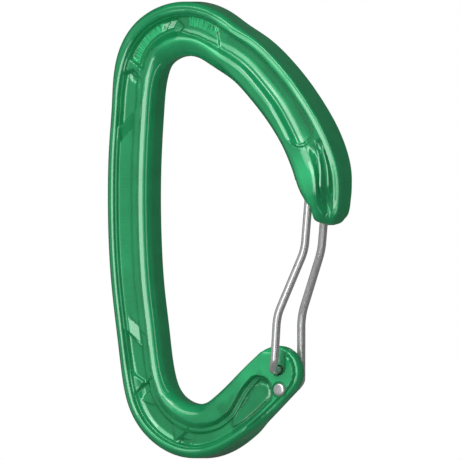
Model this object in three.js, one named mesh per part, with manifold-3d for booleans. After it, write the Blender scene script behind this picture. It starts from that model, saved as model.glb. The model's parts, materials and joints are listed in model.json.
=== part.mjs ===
// Climbing carabiner: a forged I-beam body with a hooded nose, closed by a sprung wire gate.
// Millimetres, +Z up, +X towards the gate, +Y to the back. The body hangs from its top basket,
// and the origin is the inside of that basket, where a bolt hanger carries it.
// The stations below are drawn with Z = 0 at the bottom of the body and moved up at the end.

import * as THREE from 'three';
import { mergeVertices } from 'three/addons/utils/BufferGeometryUtils.js';
import Module from 'manifold-3d';

const wasm = await Module();
wasm.setup();

// Section of the body
const BODY_THICKNESS = 8;        // over the two flanges
const BOSS_THICKNESS = 4.8;      // the gate legs pass outside the thinner boss
const EDGE_ROUND = 1.5;          // forged edge round on both flanges
const NOSE_EDGE_ROUND = 0.85;    // tighter on the outside of the nose arm
const BOSS_EDGE_ROUND = 0.6;     // the milled boss has sharper edges
const OUTER_FLANGE = 1.8;        // outer edge to pocket lip
const BASKET_OUTER_FLANGE = 2.4; // the same over the top basket
const OUTER_WALL_RUN = 1.1;      // draft of the pocket wall beside the outer flange
const SPINE_INNER_FLANGE = 2.4;  // inner edge to pocket lip
const ARM_INNER_FLANGE = 3.4;    // nose arm and bottom bend
const BASKET_INNER_FLANGE = 4.1;
const BASE_INNER_FLANGE = 4.9;
const HOOD_INNER_FLANGE = 5.6;   // the hood's bulge over the wire loop
const TIP_INNER_FLANGE = 4;
const SPINE_WALL_RUN = 2.8;      // draft of the pocket wall beside the inner flange
const ARM_WALL_RUN = 2.3;
const BASKET_WALL_RUN = 1.8;     // top basket and base
const HOOD_WALL_RUN = 0.9;
const NOMINAL_WIDTH = 10.3;      // width at which the flanges and drafts above hold
const EDGE_LAND = 0.2;           // least flat left between the rounds of the two faces
const ROUND_LIMIT = 0.9;         // most of a narrow flange that its round may take
const ROUND_FACETS = 3;
const WIRE_SIDES = 12;
const HOLE_SIDES = 24;
const HEAD_SIDES = 20;
const STATION_PITCH = 1.7;       // length between two sections

// Pocket depths, one for each panel of the channel, from the nose arm round to the base
const FLUTE_DEPTH = 0.35;        // beside the hood's bulge
const NOSE_PANEL_DEPTH = 1.4;
const TOP_PANEL_DEPTH = 1.1;
const CORNER_PANEL_DEPTH = 1.55;
const SHOULDER_PANEL_DEPTH = 1.75;
const SPINE_PANEL_DEPTH = 1.1;
const HEEL_PANEL_DEPTH = 1.7;
const BASE_PANEL_DEPTH = 1.45;

// Gate wire and what it runs in
const WIRE_DIAMETER = 1.8;
const NOSE_LEG_SPACING = 7.4;    // between the legs' centres inside the hood
const LEG_STANDOFF = 2.9;        // boss face to leg centre
const HOLE_CLEARANCE = 0.4;      // hole over wire, on the diameter
const BEND_RADIUS = 1.9;
const KNEE_RADIUS = 12;
const HEAD_DIAMETER = 2.8;       // peened end of the wire
const HEAD_HEIGHT = 0.55;
const SEAT_DEPTH = 0.3;          // shallow seat that the head lies in
const RUNNING_GAP = 0.35;        // wire to body, wire to wire
const HOOD_WALL = 0.95;          // cheek of the hood, outside the wire loop
const HOOD_THICKNESS = NOSE_LEG_SPACING + WIRE_DIAMETER + 2 * (RUNNING_GAP + HOOD_WALL);

// Places in the plane of the body
const BOSS = { x: 12.55, z: 18.95, radius: 5.75 };
const PIVOT = { x: BOSS.x + 0.55, z: BOSS.z + 0.35 };
const HEEL = { x: PIVOT.x + 0.6, z: PIVOT.z - 4.2 };  // the far leg's hole
const LEG_LEAN = 1.15;           // how far the legs stand in front of the pivot, towards the gate
const LOWER_KNEE = { x: PIVOT.x + 1.8, z: PIVOT.z + 11.9 };
const UPPER_KNEE = { x: PIVOT.x + 7.8, z: PIVOT.z + 26.2 };
const CROSSBAR = { x: 22.15, z: 58.9 };
const RELIEF_WIDTH = 3.6;        // recess in the front face beside the near leg
const RELIEF_DEPTH = 0.8;
const CAVITY_MOUTH = 6;          // how far the nose cavity runs inwards and down from the crossbar
const CAVITY_FOOT = 9;
const CAVITY_ROUND = 1;
const HOOK_HEIGHT = 4.2;         // hook between the legs, under the crossbar
const HOOK_ROUND = 0.6;

// Edge forms: round at the outer and inner edge, how high the inner round reaches, the width of
// the outer and inner flange, and the draft of the wall beside the inner one.
const EDGE = {
  outer: EDGE_ROUND, inner: 1.35, high: 2.3,
  outerFlange: OUTER_FLANGE, innerFlange: SPINE_INNER_FLANGE, run: SPINE_WALL_RUN,
};
const NOSE_EDGE = {
  ...EDGE, outer: NOSE_EDGE_ROUND, innerFlange: ARM_INNER_FLANGE, run: ARM_WALL_RUN,
};
const TOP_BASKET = {
  outer: EDGE_ROUND, inner: 2.6, high: 3.2,
  outerFlange: BASKET_OUTER_FLANGE, innerFlange: BASKET_INNER_FLANGE, run: BASKET_WALL_RUN,
};
const BOTTOM_BASKET = {
  ...EDGE, inner: 1.9, high: 2.8, innerFlange: ARM_INNER_FLANGE, run: ARM_WALL_RUN,
};
const BASE_BEND = { ...BOTTOM_BASKET, innerFlange: BASE_INNER_FLANGE, run: BASKET_WALL_RUN };
const BASE = { ...BASE_BEND, outer: 1.2, inner: 1, high: 1.2 };
const BASE_END = { ...BASE, innerFlange: ARM_INNER_FLANGE };
const HOOD = {
  ...NOSE_EDGE, inner: 1.7, high: 2.8, innerFlange: HOOD_INNER_FLANGE, run: HOOD_WALL_RUN,
};
const TIP = { ...HOOD, inner: 1.5, high: 1.9, innerFlange: TIP_INNER_FLANGE };
const MILLED = { ...EDGE, outer: BOSS_EDGE_ROUND, inner: BOSS_EDGE_ROUND, high: BOSS_EDGE_ROUND };

// Centreline from the nose tip over the top, down the spine and along the base to the boss.
// x and z are the centre, w the width in the plane, t the thickness at the outer flange,
// h the thickness at the inner flange, d the pocket depth and e the edge form.
const NOSE_TIP = [
  { x: 25.15, z: 51.2, w: 2.7, t: 3.2, h: 3.4, d: 0, e: TIP },
  { x: 25.15, z: 51.7, w: 4.4, t: 4.6, h: 5.8, d: 0, e: TIP },
  { x: 25.1, z: 52.4, w: 5.7, t: 5.3, h: 7.3, d: 0, e: TIP },
  { x: 25.1, z: 53.5, w: 6.8, t: 5.7, h: 8.6, d: 0, e: TIP },
  { x: 25.2, z: 55.3, w: 7.7, t: 6.1, h: 9.8, d: 0.2, e: TIP },
];
const HOODED_ARM = [
  { x: 24.9, z: 56.9, w: 8.8, t: 6.2, h: 10.8, d: FLUTE_DEPTH, e: HOOD },
  { x: 24.6, z: 58.5, w: 9.4, t: 6.4, h: 11.6, d: FLUTE_DEPTH, e: HOOD },
  { x: 24.05, z: 60.8, w: 10.5, t: 6.8, h: HOOD_THICKNESS, d: FLUTE_DEPTH, e: HOOD },
  { x: 23.5, z: 62.9, w: 10.8, t: 7.2, h: 11.3, d: FLUTE_DEPTH, e: HOOD },
  { x: 22.25, z: 65.8, w: 11.2, t: 7.7, h: 9.9, d: FLUTE_DEPTH, e: HOOD },
];
const NOSE_ARM = [
  { x: 21.1, z: 68.2, w: 11.35, h: 8.8, d: 0, e: NOSE_EDGE },
  { x: 20.0, z: 70.1, w: 11.4, d: NOSE_PANEL_DEPTH, e: NOSE_EDGE },
  { x: 16.9, z: 74.8, w: 11.3, d: NOSE_PANEL_DEPTH, e: NOSE_EDGE },
  { x: 13.4, z: 79.2, w: 11.3, d: NOSE_PANEL_DEPTH, e: NOSE_EDGE },
  { x: 9.6, z: 83.2, w: 11.2, d: NOSE_PANEL_DEPTH, e: NOSE_EDGE },
  { x: 5.1, z: 87.1, w: 11.0, d: NOSE_PANEL_DEPTH, e: NOSE_EDGE },
];
const TOP_BEND = [
  { x: -0.5, z: 90.3, w: 11.4, d: TOP_PANEL_DEPTH, e: TOP_BASKET },
  { x: -4.6, z: 92.75, w: 11.7, d: TOP_PANEL_DEPTH, e: TOP_BASKET },
  { x: -9.3, z: 93.85, w: 11.9, d: TOP_PANEL_DEPTH, e: TOP_BASKET },
  { x: -14.5, z: 93.05, w: 11.8, d: CORNER_PANEL_DEPTH, e: TOP_BASKET },
  { x: -19.6, z: 89.6, w: 11.55, d: CORNER_PANEL_DEPTH, e: TOP_BASKET },
];
const SPINE = [
  { x: -22.2, z: 83.6, w: 10.8, d: SHOULDER_PANEL_DEPTH, e: EDGE },
  { x: -22.8, z: 77.5, w: 10.4, d: SHOULDER_PANEL_DEPTH, e: EDGE },
  { x: -23.5, z: 68.0, w: 10.5, d: SPINE_PANEL_DEPTH, e: EDGE },
  { x: -23.8, z: 58.0, w: 10.5, d: SPINE_PANEL_DEPTH, e: EDGE },
  { x: -23.6, z: 47.5, w: 10.5, d: SPINE_PANEL_DEPTH, e: EDGE },
  { x: -22.7, z: 36.0, w: 10.4, d: SPINE_PANEL_DEPTH, e: EDGE },
  { x: -21.4, z: 26.5, w: 10.4, d: SPINE_PANEL_DEPTH, e: EDGE },
  { x: -20.2, z: 18.2, w: 10.5, d: HEEL_PANEL_DEPTH, e: EDGE },
];
const BOTTOM_BEND = [
  { x: -18.2, z: 12.3, w: 11.2, d: HEEL_PANEL_DEPTH, e: BOTTOM_BASKET },
  { x: -14.0, z: 7.95, w: 11.6, d: HEEL_PANEL_DEPTH, e: BOTTOM_BASKET },
  { x: -8.6, z: 6.0, w: 11.9, d: BASE_PANEL_DEPTH, e: BOTTOM_BASKET },
  { x: -3.4, z: 6.6, w: 11.6, d: BASE_PANEL_DEPTH, e: BASE_BEND },
];
const BASE_ARM = [
  { x: 1.1, z: 9.1, w: 11.4, t: 7.2, d: BASE_PANEL_DEPTH, e: BASE },
  { x: 4.95, z: 12.25, w: 11.8, t: 5.8, d: BASE_PANEL_DEPTH, e: BASE_END },
  { x: 8.35, z: 15.3, w: 11.8, t: BOSS_THICKNESS, d: 0, e: MILLED },
];
const BOSS_CAP_ANGLES = [0, 30, 50, 65, 78, 86];

function bossCap() {
  const last = BASE_ARM.at(-1);
  const along = new THREE.Vector2(BOSS.x - last.x, BOSS.z - last.z).normalize();
  return BOSS_CAP_ANGLES.map((degrees) => {
    const angle = THREE.MathUtils.degToRad(degrees);
    const reach = BOSS.radius * Math.sin(angle);
    return {
      x: BOSS.x + along.x * reach,
      z: BOSS.z + along.y * reach,
      w: 2 * BOSS.radius * Math.cos(angle),
      t: BOSS_THICKNESS,
      d: 0,
      e: MILLED,
    };
  });
}

function bodyStations() {
  const drawn = [...NOSE_TIP, ...HOODED_ARM, ...NOSE_ARM, ...TOP_BEND, ...SPINE, ...BOTTOM_BEND,
    ...BASE_ARM, ...bossCap()];
  return drawn.map((s) => {
    const t = s.t ?? BODY_THICKNESS;
    return { w: s.w, t, h: s.h ?? t, d: s.d, ...s.e, place: new THREE.Vector3(s.x, 0, s.z) };
  });
}

// One closed ring of the section at a station: n runs along the outward normal, y is thickness.
function sectionRing(s) {
  const scale = Math.min(1, s.w / NOMINAL_WIDTH);
  const half = s.w / 2;
  const outerRound = Math.min(s.outer, s.outerFlange * scale * ROUND_LIMIT);
  const innerRound = Math.min(s.inner, s.innerFlange * scale * ROUND_LIMIT);
  const outerHigh = Math.min(EDGE_ROUND, s.high, s.t / 2 - EDGE_LAND);
  const innerHigh = Math.min(s.high, s.h / 2 - EDGE_LAND);
  const floor = s.t / 2 - s.d;
  const front = [];
  for (let i = 0; i <= ROUND_FACETS; i += 1) {
    const a = (Math.PI / 2) * (i / ROUND_FACETS);
    const n = half - outerRound + outerRound * Math.cos(a);
    front.push([n, s.t / 2 - outerHigh + outerHigh * Math.sin(a)]);
  }
  front.push([half - s.outerFlange * scale, s.t / 2]);
  front.push([half - (s.outerFlange + OUTER_WALL_RUN) * scale, floor]);
  front.push([-half + (s.innerFlange + s.run) * scale, floor]);
  front.push([-half + s.innerFlange * scale, s.h / 2]);
  for (let i = ROUND_FACETS; i >= 0; i -= 1) {
    const a = (Math.PI / 2) * (i / ROUND_FACETS);
    const n = -half + innerRound - innerRound * Math.cos(a);
    front.push([n, s.h / 2 - innerHigh + innerHigh * Math.sin(a)]);
  }
  const back = front.map(([n, y]) => [n, -y]).reverse();
  return [...front, ...back];
}

function blendStations(a, b, f) {
  const smooth = f * f * (3 - 2 * f);
  const out = {};
  for (const [key, value] of Object.entries(a)) {
    if (key !== 'place') out[key] = value + (b[key] - value) * (key === 'd' ? smooth : f);
  }
  return out;
}

// Loft of the section along the centreline, closed by a flat face at each end.
function loftBody() {
  const stations = bodyStations();
  const curve = new THREE.CatmullRomCurve3(stations.map((s) => s.place), false, 'centripetal');
  const spans = stations.length - 1;
  const rings = [];
  for (let span = 0; span < spans; span += 1) {
    const gap = stations[span].place.distanceTo(stations[span + 1].place);
    const steps = Math.max(1, Math.round(gap / STATION_PITCH));
    const count = span === spans - 1 ? steps + 1 : steps;
    for (let i = 0; i < count; i += 1) {
      const f = i / steps;
      const u = (span + f) / spans;
      const centre = curve.getPoint(u);
      const along = curve.getTangent(u);
      const normal = new THREE.Vector3(along.z, 0, -along.x);
      const size = blendStations(stations[span], stations[span + 1], f);
      rings.push(sectionRing(size).map(([n, y]) => new THREE.Vector3(0, y, 0)
        .add(centre).addScaledVector(normal, n)));
    }
  }
  return skinRings(rings);
}

function skinRings(rings) {
  const perRing = rings[0].length;
  const positions = rings.flat().flatMap((p) => [p.x, p.y, p.z]);
  const index = [];
  for (let r = 0; r < rings.length - 1; r += 1) {
    for (let k = 0; k < perRing; k += 1) {
      const a = r * perRing + k;
      const b = r * perRing + ((k + 1) % perRing);
      index.push(a, b, a + perRing, b, b + perRing, a + perRing);
    }
  }
  closeEnd(index, 0, perRing, false);
  closeEnd(index, (rings.length - 1) * perRing, perRing, true);
  const geometry = new THREE.BufferGeometry();
  geometry.setAttribute('position', new THREE.Float32BufferAttribute(positions, 3));
  geometry.setIndex(index);
  return geometry;
}

// The front half of a ring mirrors its back half, so an end is a strip between the two.
function closeEnd(index, first, perRing, far) {
  for (let k = 0; k < perRing / 2 - 1; k += 1) {
    const a = first + k;
    const b = first + k + 1;
    const c = first + perRing - 1 - k;
    const d = first + perRing - 2 - k;
    const corners = far ? [a, b, c, b, d, c] : [a, c, b, b, c, d];
    index.push(...corners);
  }
}

function toSolid(geometry) {
  const bare = geometry.clone();
  bare.deleteAttribute('normal');
  bare.deleteAttribute('uv');
  const merged = mergeVertices(bare, 1e-4);
  return new wasm.Manifold(new wasm.Mesh({
    numProp: 3,
    vertProperties: new Float32Array(merged.attributes.position.array),
    triVerts: new Uint32Array(merged.index.array),
  }));
}

function toGeometry(solid) {
  const mesh = solid.getMesh();
  const geometry = new THREE.BufferGeometry();
  geometry.setAttribute('position', new THREE.BufferAttribute(mesh.vertProperties, 3));
  geometry.setIndex(new THREE.BufferAttribute(mesh.triVerts, 1));
  geometry.computeVertexNormals();
  return geometry;
}

// A round bar along Y, centred on y.
function barAlongY(diameter, length, x, y, z) {
  const geometry = new THREE.CylinderGeometry(diameter / 2, diameter / 2, length, HOLE_SIDES);
  geometry.translate(x, y, z);
  return toSolid(geometry);
}

// An outline in the XZ plane, made solid across the thickness from -halfWidth to +halfWidth.
function plateXZ(shape, halfWidth) {
  const geometry = new THREE.ExtrudeGeometry(shape, {
    depth: 2 * halfWidth, bevelEnabled: false, curveSegments: 8,
  });
  geometry.rotateX(Math.PI / 2);
  geometry.translate(0, halfWidth, 0);
  return toSolid(geometry);
}

const wireRadius = WIRE_DIAMETER / 2;
const baseLegY = BOSS_THICKNESS / 2 + LEG_STANDOFF;
const noseLegY = NOSE_LEG_SPACING / 2;
const headBase = BOSS_THICKNESS / 2 - SEAT_DEPTH + RUNNING_GAP;

// Recess in the nose that the wire loop closes into, with the hook that it closes over. Its back
// wall leans as the legs do, and its ceiling clears the crossbar at the top of its swing.
function noseCavity() {
  const back = CROSSBAR.x + wireRadius + RUNNING_GAP;
  const legSlope = (CROSSBAR.x - UPPER_KNEE.x) / (CROSSBAR.z - UPPER_KNEE.z);
  const armLength = Math.hypot(CROSSBAR.x - PIVOT.x, CROSSBAR.z - PIVOT.z);
  const rise = armLength - (CROSSBAR.z - PIVOT.z);
  const ceiling = CROSSBAR.z + wireRadius + RUNNING_GAP + rise;
  const mouth = CROSSBAR.x - CAVITY_MOUTH;
  const below = CROSSBAR.z - CAVITY_FOOT;
  const room = new THREE.Shape();
  room.moveTo(mouth, below);
  room.lineTo(back - legSlope * CAVITY_FOOT, below);
  room.lineTo(back, CROSSBAR.z);
  room.lineTo(back, ceiling - CAVITY_ROUND);
  room.quadraticCurveTo(back, ceiling, back - CAVITY_ROUND, ceiling);
  room.lineTo(mouth, ceiling);
  room.closePath();

  const shelf = CROSSBAR.z - wireRadius - RUNNING_GAP;
  const hookTip = CROSSBAR.x - wireRadius;
  const root = back + CAVITY_ROUND;
  const hook = new THREE.Shape();
  hook.moveTo(root, shelf);
  hook.lineTo(hookTip + HOOK_ROUND, shelf);
  hook.quadraticCurveTo(hookTip, shelf, hookTip, shelf - HOOK_ROUND);
  hook.quadraticCurveTo(hookTip, shelf - HOOK_HEIGHT / 2, root, shelf - HOOK_HEIGHT);
  hook.closePath();

  const roomSolid = plateXZ(room, noseLegY + wireRadius + RUNNING_GAP);
  return roomSolid.subtract(plateXZ(hook, noseLegY - wireRadius - RUNNING_GAP));
}

// Holes for the two feet, a seat for each peened head, and the relief beside the near leg.
function bossCuts() {
  const hole = WIRE_DIAMETER + HOLE_CLEARANCE;
  const seat = HEAD_DIAMETER + 2 * RUNNING_GAP;
  const face = BOSS_THICKNESS / 2;
  const through = 2 * BOSS_THICKNESS;
  const cuts = [
    barAlongY(hole, through, PIVOT.x, 0, PIVOT.z),
    barAlongY(hole, through, HEEL.x, 0, HEEL.z),
    barAlongY(seat, 2 * SEAT_DEPTH, PIVOT.x, face, PIVOT.z),
    barAlongY(seat, 2 * SEAT_DEPTH, HEEL.x, -face, HEEL.z),
  ];
  const half = RELIEF_WIDTH / 2;
  const centre = PIVOT.x + LEG_LEAN / 2;
  const foot = PIVOT.z + half - hole / 2;
  const top = BOSS.z + 2 * BOSS.radius;
  const relief = new THREE.Shape();
  relief.moveTo(centre - half, top);
  relief.lineTo(centre - half, foot);
  relief.absarc(centre, foot, half, Math.PI, 2 * Math.PI, false);
  relief.lineTo(centre + half, top);
  relief.closePath();
  const reliefSolid = plateXZ(relief, RELIEF_DEPTH).translate([0, -face, 0]);
  return cuts.reduce((all, cut) => all.add(cut), reliefSolid);
}

function bodyGeometry() {
  const cavity = noseCavity();
  return toGeometry(toSolid(loftBody()).subtract(cavity).subtract(bossCuts()));
}

// A path of straight runs joined by round corners.
function roundedPath(corners) {
  const path = new THREE.CurvePath();
  let from = corners[0].place;
  for (let i = 1; i < corners.length - 1; i += 1) {
    const { place, radius } = corners[i];
    const back = corners[i - 1].place.clone().sub(place).normalize();
    const ahead = corners[i + 1].place.clone().sub(place).normalize();
    const trim = radius * Math.tan((Math.PI - back.angleTo(ahead)) / 2);
    const enter = place.clone().addScaledVector(back, trim);
    const leave = place.clone().addScaledVector(ahead, trim);
    path.add(new THREE.LineCurve3(from, enter));
    path.add(new THREE.QuadraticBezierCurve3(enter, place, leave));
    from = leave;
  }
  path.add(new THREE.LineCurve3(from, corners.at(-1).place));
  return path;
}

function wireAlong(path) {
  const round = new THREE.Shape();
  round.absarc(0, 0, wireRadius, 0, 2 * Math.PI, false);
  const steps = Math.round(path.getLength() / wireRadius);
  const geometry = new THREE.ExtrudeGeometry(round, {
    steps, extrudePath: path, curveSegments: WIRE_SIDES / 2, bevelEnabled: false,
  });
  return toSolid(geometry);
}

// A low dome on the end of a wire, standing on a boss face. side is -1 at the front, 1 at the back.
function peenedHead(place, side) {
  const profile = [new THREE.Vector2(0, 0)];
  for (let i = 0; i <= 5; i += 1) {
    const a = (Math.PI / 2) * (i / 5);
    profile.push(new THREE.Vector2((HEAD_DIAMETER / 2) * Math.cos(a), HEAD_HEIGHT * Math.sin(a)));
  }
  const dome = new THREE.LatheGeometry(profile, HEAD_SIDES);
  if (side < 0) dome.rotateX(Math.PI);
  dome.translate(place.x, side * headBase, place.z);
  return toSolid(dome);
}

// Corners of one leg, from the level of its foot up to the crossbar. side is -1 near, 1 far.
function legCorners(side) {
  const at = (x, y, z, radius) => ({ place: new THREE.Vector3(x, side * y, z), radius });
  return [
    at(LOWER_KNEE.x, baseLegY, LOWER_KNEE.z, KNEE_RADIUS),
    at(UPPER_KNEE.x, noseLegY, UPPER_KNEE.z, KNEE_RADIUS),
    at(CROSSBAR.x, noseLegY, CROSSBAR.z, BEND_RADIUS),
  ];
}

// The bend that takes a leg into its hole: down beside the boss, then in through it.
function footCorners(place, side) {
  const insideHead = headBase + HEAD_HEIGHT / 5;
  const at = (x, y, z, radius) => ({ place: new THREE.Vector3(x, y, z), radius });
  return [
    at(place.x, -side * insideHead, place.z, 0),
    at(place.x, side * (baseLegY - BEND_RADIUS / 2), place.z, BEND_RADIUS),
    at(place.x + LEG_LEAN, side * baseLegY, place.z + BEND_RADIUS, BEND_RADIUS),
  ];
}

// The gate is one bent wire, from the near foot over the crossbar to the far foot. Its feet lie
// in two holes that are not in line, so a rigid wire could not turn: it is split in the far leg,
// level with the pivot, into the stretch that swings and the heel that stays in the second hole.
function gateHalves() {
  const corners = [
    ...footCorners(PIVOT, -1),
    ...legCorners(-1),
    ...legCorners(1).reverse(),
    ...footCorners(HEEL, 1).reverse(),
  ];
  const sawCut = new THREE.BoxGeometry(2 * BOSS.radius, 2 * WIRE_DIAMETER, RUNNING_GAP);
  sawCut.translate(PIVOT.x + LEG_LEAN, baseLegY, PIVOT.z);
  const pieces = wireAlong(roundedPath(corners)).subtract(toSolid(sawCut)).decompose();
  const [heel, swinging] = pieces.sort((a, b) => a.volume() - b.volume());
  return {
    swinging: toGeometry(swinging.add(peenedHead(PIVOT, 1))),
    heel: toGeometry(heel.add(peenedHead(HEEL, -1))),
  };
}

const anodised = new THREE.MeshStandardMaterial({ color: 0x1f9a55, roughness: 0.28, metalness: 0.9 });
const polishedSteel = new THREE.MeshStandardMaterial({ color: 0xb9bcc0, roughness: 0.18, metalness: 1 });

function namedMesh(name, geometry, material) {
  const mesh = new THREE.Mesh(geometry, material.clone());
  mesh.name = name;
  return mesh;
}

// The gate's geometry is moved to its pivot, so turning the mesh about Y opens the gate.
function gateMesh(geometry) {
  const mesh = namedMesh('gate_wire', geometry.translate(-PIVOT.x, 0, -PIVOT.z), polishedSteel);
  mesh.position.set(PIVOT.x, 0, PIVOT.z);
  return mesh;
}

const basket = bodyStations().reduce((high, s) => (s.place.z > high.place.z ? s : high));
const carabiner = new THREE.Group();
carabiner.name = 'carabiner';
const gate = gateHalves();
carabiner.add(namedMesh('body', bodyGeometry(), anodised));
carabiner.add(gateMesh(gate.swinging));
carabiner.add(namedMesh('gate_heel', gate.heel, polishedSteel));
carabiner.position.set(-basket.place.x, 0, -(basket.place.z - basket.w / 2));

export default carabiner;
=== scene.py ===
"""Anodised wire-gate carabiner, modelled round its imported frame.

Shapes are worked out in millimetres in the drawing frame of the body, with Z = 0 at the bottom of
the forging, and are moved into the frame by the place of the gate's hinge.
"""

import json
import logging
import math
from dataclasses import dataclass, field
from enum import Enum

import bmesh
import bpy
import numpy as np
from mathutils import Matrix, Vector


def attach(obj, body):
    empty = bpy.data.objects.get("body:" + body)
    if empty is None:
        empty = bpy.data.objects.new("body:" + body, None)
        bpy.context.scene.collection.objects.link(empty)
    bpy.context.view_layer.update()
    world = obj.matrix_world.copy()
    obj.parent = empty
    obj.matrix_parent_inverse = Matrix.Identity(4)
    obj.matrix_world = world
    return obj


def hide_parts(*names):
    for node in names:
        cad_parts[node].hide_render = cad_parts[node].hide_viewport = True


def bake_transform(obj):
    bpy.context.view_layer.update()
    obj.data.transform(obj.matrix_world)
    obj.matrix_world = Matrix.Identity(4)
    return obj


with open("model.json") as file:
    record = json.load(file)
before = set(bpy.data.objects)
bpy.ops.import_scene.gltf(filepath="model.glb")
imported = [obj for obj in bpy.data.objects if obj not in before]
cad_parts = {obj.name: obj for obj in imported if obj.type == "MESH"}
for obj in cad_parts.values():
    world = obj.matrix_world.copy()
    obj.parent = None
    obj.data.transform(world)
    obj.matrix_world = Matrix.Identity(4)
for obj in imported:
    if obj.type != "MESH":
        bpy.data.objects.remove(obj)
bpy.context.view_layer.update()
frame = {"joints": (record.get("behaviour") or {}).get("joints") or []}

log = logging.getLogger("carabiner")

MM = 0.001
PIVOT = (13.1, 19.3)             # first hole of the gate, x and z in the drawing frame
HEEL = (13.7, 15.1)              # second hole of the gate
BOSS_CENTRE = (12.55, 18.95)
BOSS_RADIUS = 5.75
BOSS_THICKNESS = 4.8
WIRE_DIAMETER = 1.8
RUNNING_GAP = 0.35               # clearance of the wire in the nose
CROSSBAR = (22.15, 58.9)
LOWER_KNEE = (PIVOT[0] + 1.8, PIVOT[1] + 11.9)
UPPER_KNEE = (PIVOT[0] + 7.8, PIVOT[1] + 26.2)
PHOTO_SCALE = 0.218              # millimetres to a pixel of the photograph
PHOTO_SIDE = 460
PHOTO_CENTRE_Z = 49.9            # height in the drawing frame of the middle of the photograph
VIEW_AZIMUTH = 30.0              # degrees round the object, from its front

HINGE = Vector(frame["joints"][0]["pos_m"])
SHIFT = Vector((HINGE.x - PIVOT[0] * MM, 0, HINGE.z - PIVOT[1] * MM))


def in_frame(x: float, y: float, z: float) -> Vector:
    """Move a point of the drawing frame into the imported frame.

    Args:
        x: place towards the gate, in millimetres.
        y: place across the thickness, in millimetres.
        z: height above the bottom of the forging, in millimetres.

    Returns:
        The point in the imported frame, in metres.
    """
    return Vector((x, y, z)) * MM + SHIFT


def ramp(value: np.ndarray, low: float, high: float) -> np.ndarray:
    """Step smoothly from 0 to 1.

    Args:
        value: values to judge.
        low: value at which the step starts.
        high: value at which it ends.

    Returns:
        Shares from 0 to 1.
    """
    t = np.clip((value - low) / (high - low), 0, 1)
    return t * t * (3 - 2 * t)


def between(value: np.ndarray, rise: float, full: float, fade: float, end: float) -> np.ndarray:
    """Step smoothly from 0 to 1 and back to 0.

    Args:
        value: values to judge.
        rise: value at which the rise starts.
        full: value at which it ends.
        fade: value at which the fall starts.
        end: value at which it ends.

    Returns:
        Shares from 0 to 1.
    """
    return ramp(value, rise, full) * ramp(-value, -end, -fade)


def read(table: tuple[tuple[float, ...], ...], at: np.ndarray, column: int = 1) -> np.ndarray:
    """Read a table between its rows.

    Args:
        table: rows that each start with a place, rising from row to row.
        at: places to read.
        column: which value of the rows to read.

    Returns:
        One value for each place.
    """
    rows = np.array(table)
    return np.interp(at, rows[:, 0], rows[:, column])


def soft_min(a: np.ndarray, b: np.ndarray, radius: float) -> np.ndarray:
    """Take the smaller of two heights, with a fillet between them.

    Args:
        a: first height.
        b: second height.
        radius: about the fillet's radius.

    Returns:
        The blended heights.
    """
    h = np.clip(0.5 + 0.5 * (b - a) / radius, 0, 1)
    return b + (a - b) * h - radius * h * (1 - h)


@dataclass(frozen=True)
class EdgeForm:
    """Rounds of the section's edges, in millimetres."""

    outer_round: float
    inner_round: float
    inner_high: float


ARM = EdgeForm(1.4, 1.35, 2.3)
TOP_BASKET = EdgeForm(1.5, 2.6, 3.2)
BOTTOM_BASKET = EdgeForm(1.5, 1.9, 2.8)
BASE = EdgeForm(1.2, 1.0, 1.2)
MILLED = EdgeForm(0.6, 0.6, 0.6)
HOOD = EdgeForm(0.5, 1.7, 2.8)
TIP = EdgeForm(0.6, 1.5, 1.9)
NOSE_ARM = EdgeForm(0.6, 1.35, 2.3)


@dataclass(frozen=True)
class Station:
    """One section of the forging: its centre, its width and its thickness at either edge."""

    x: float
    z: float
    width: float
    form: EdgeForm
    outer_thick: float = 8.0
    inner_thick: float = 8.0


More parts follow.
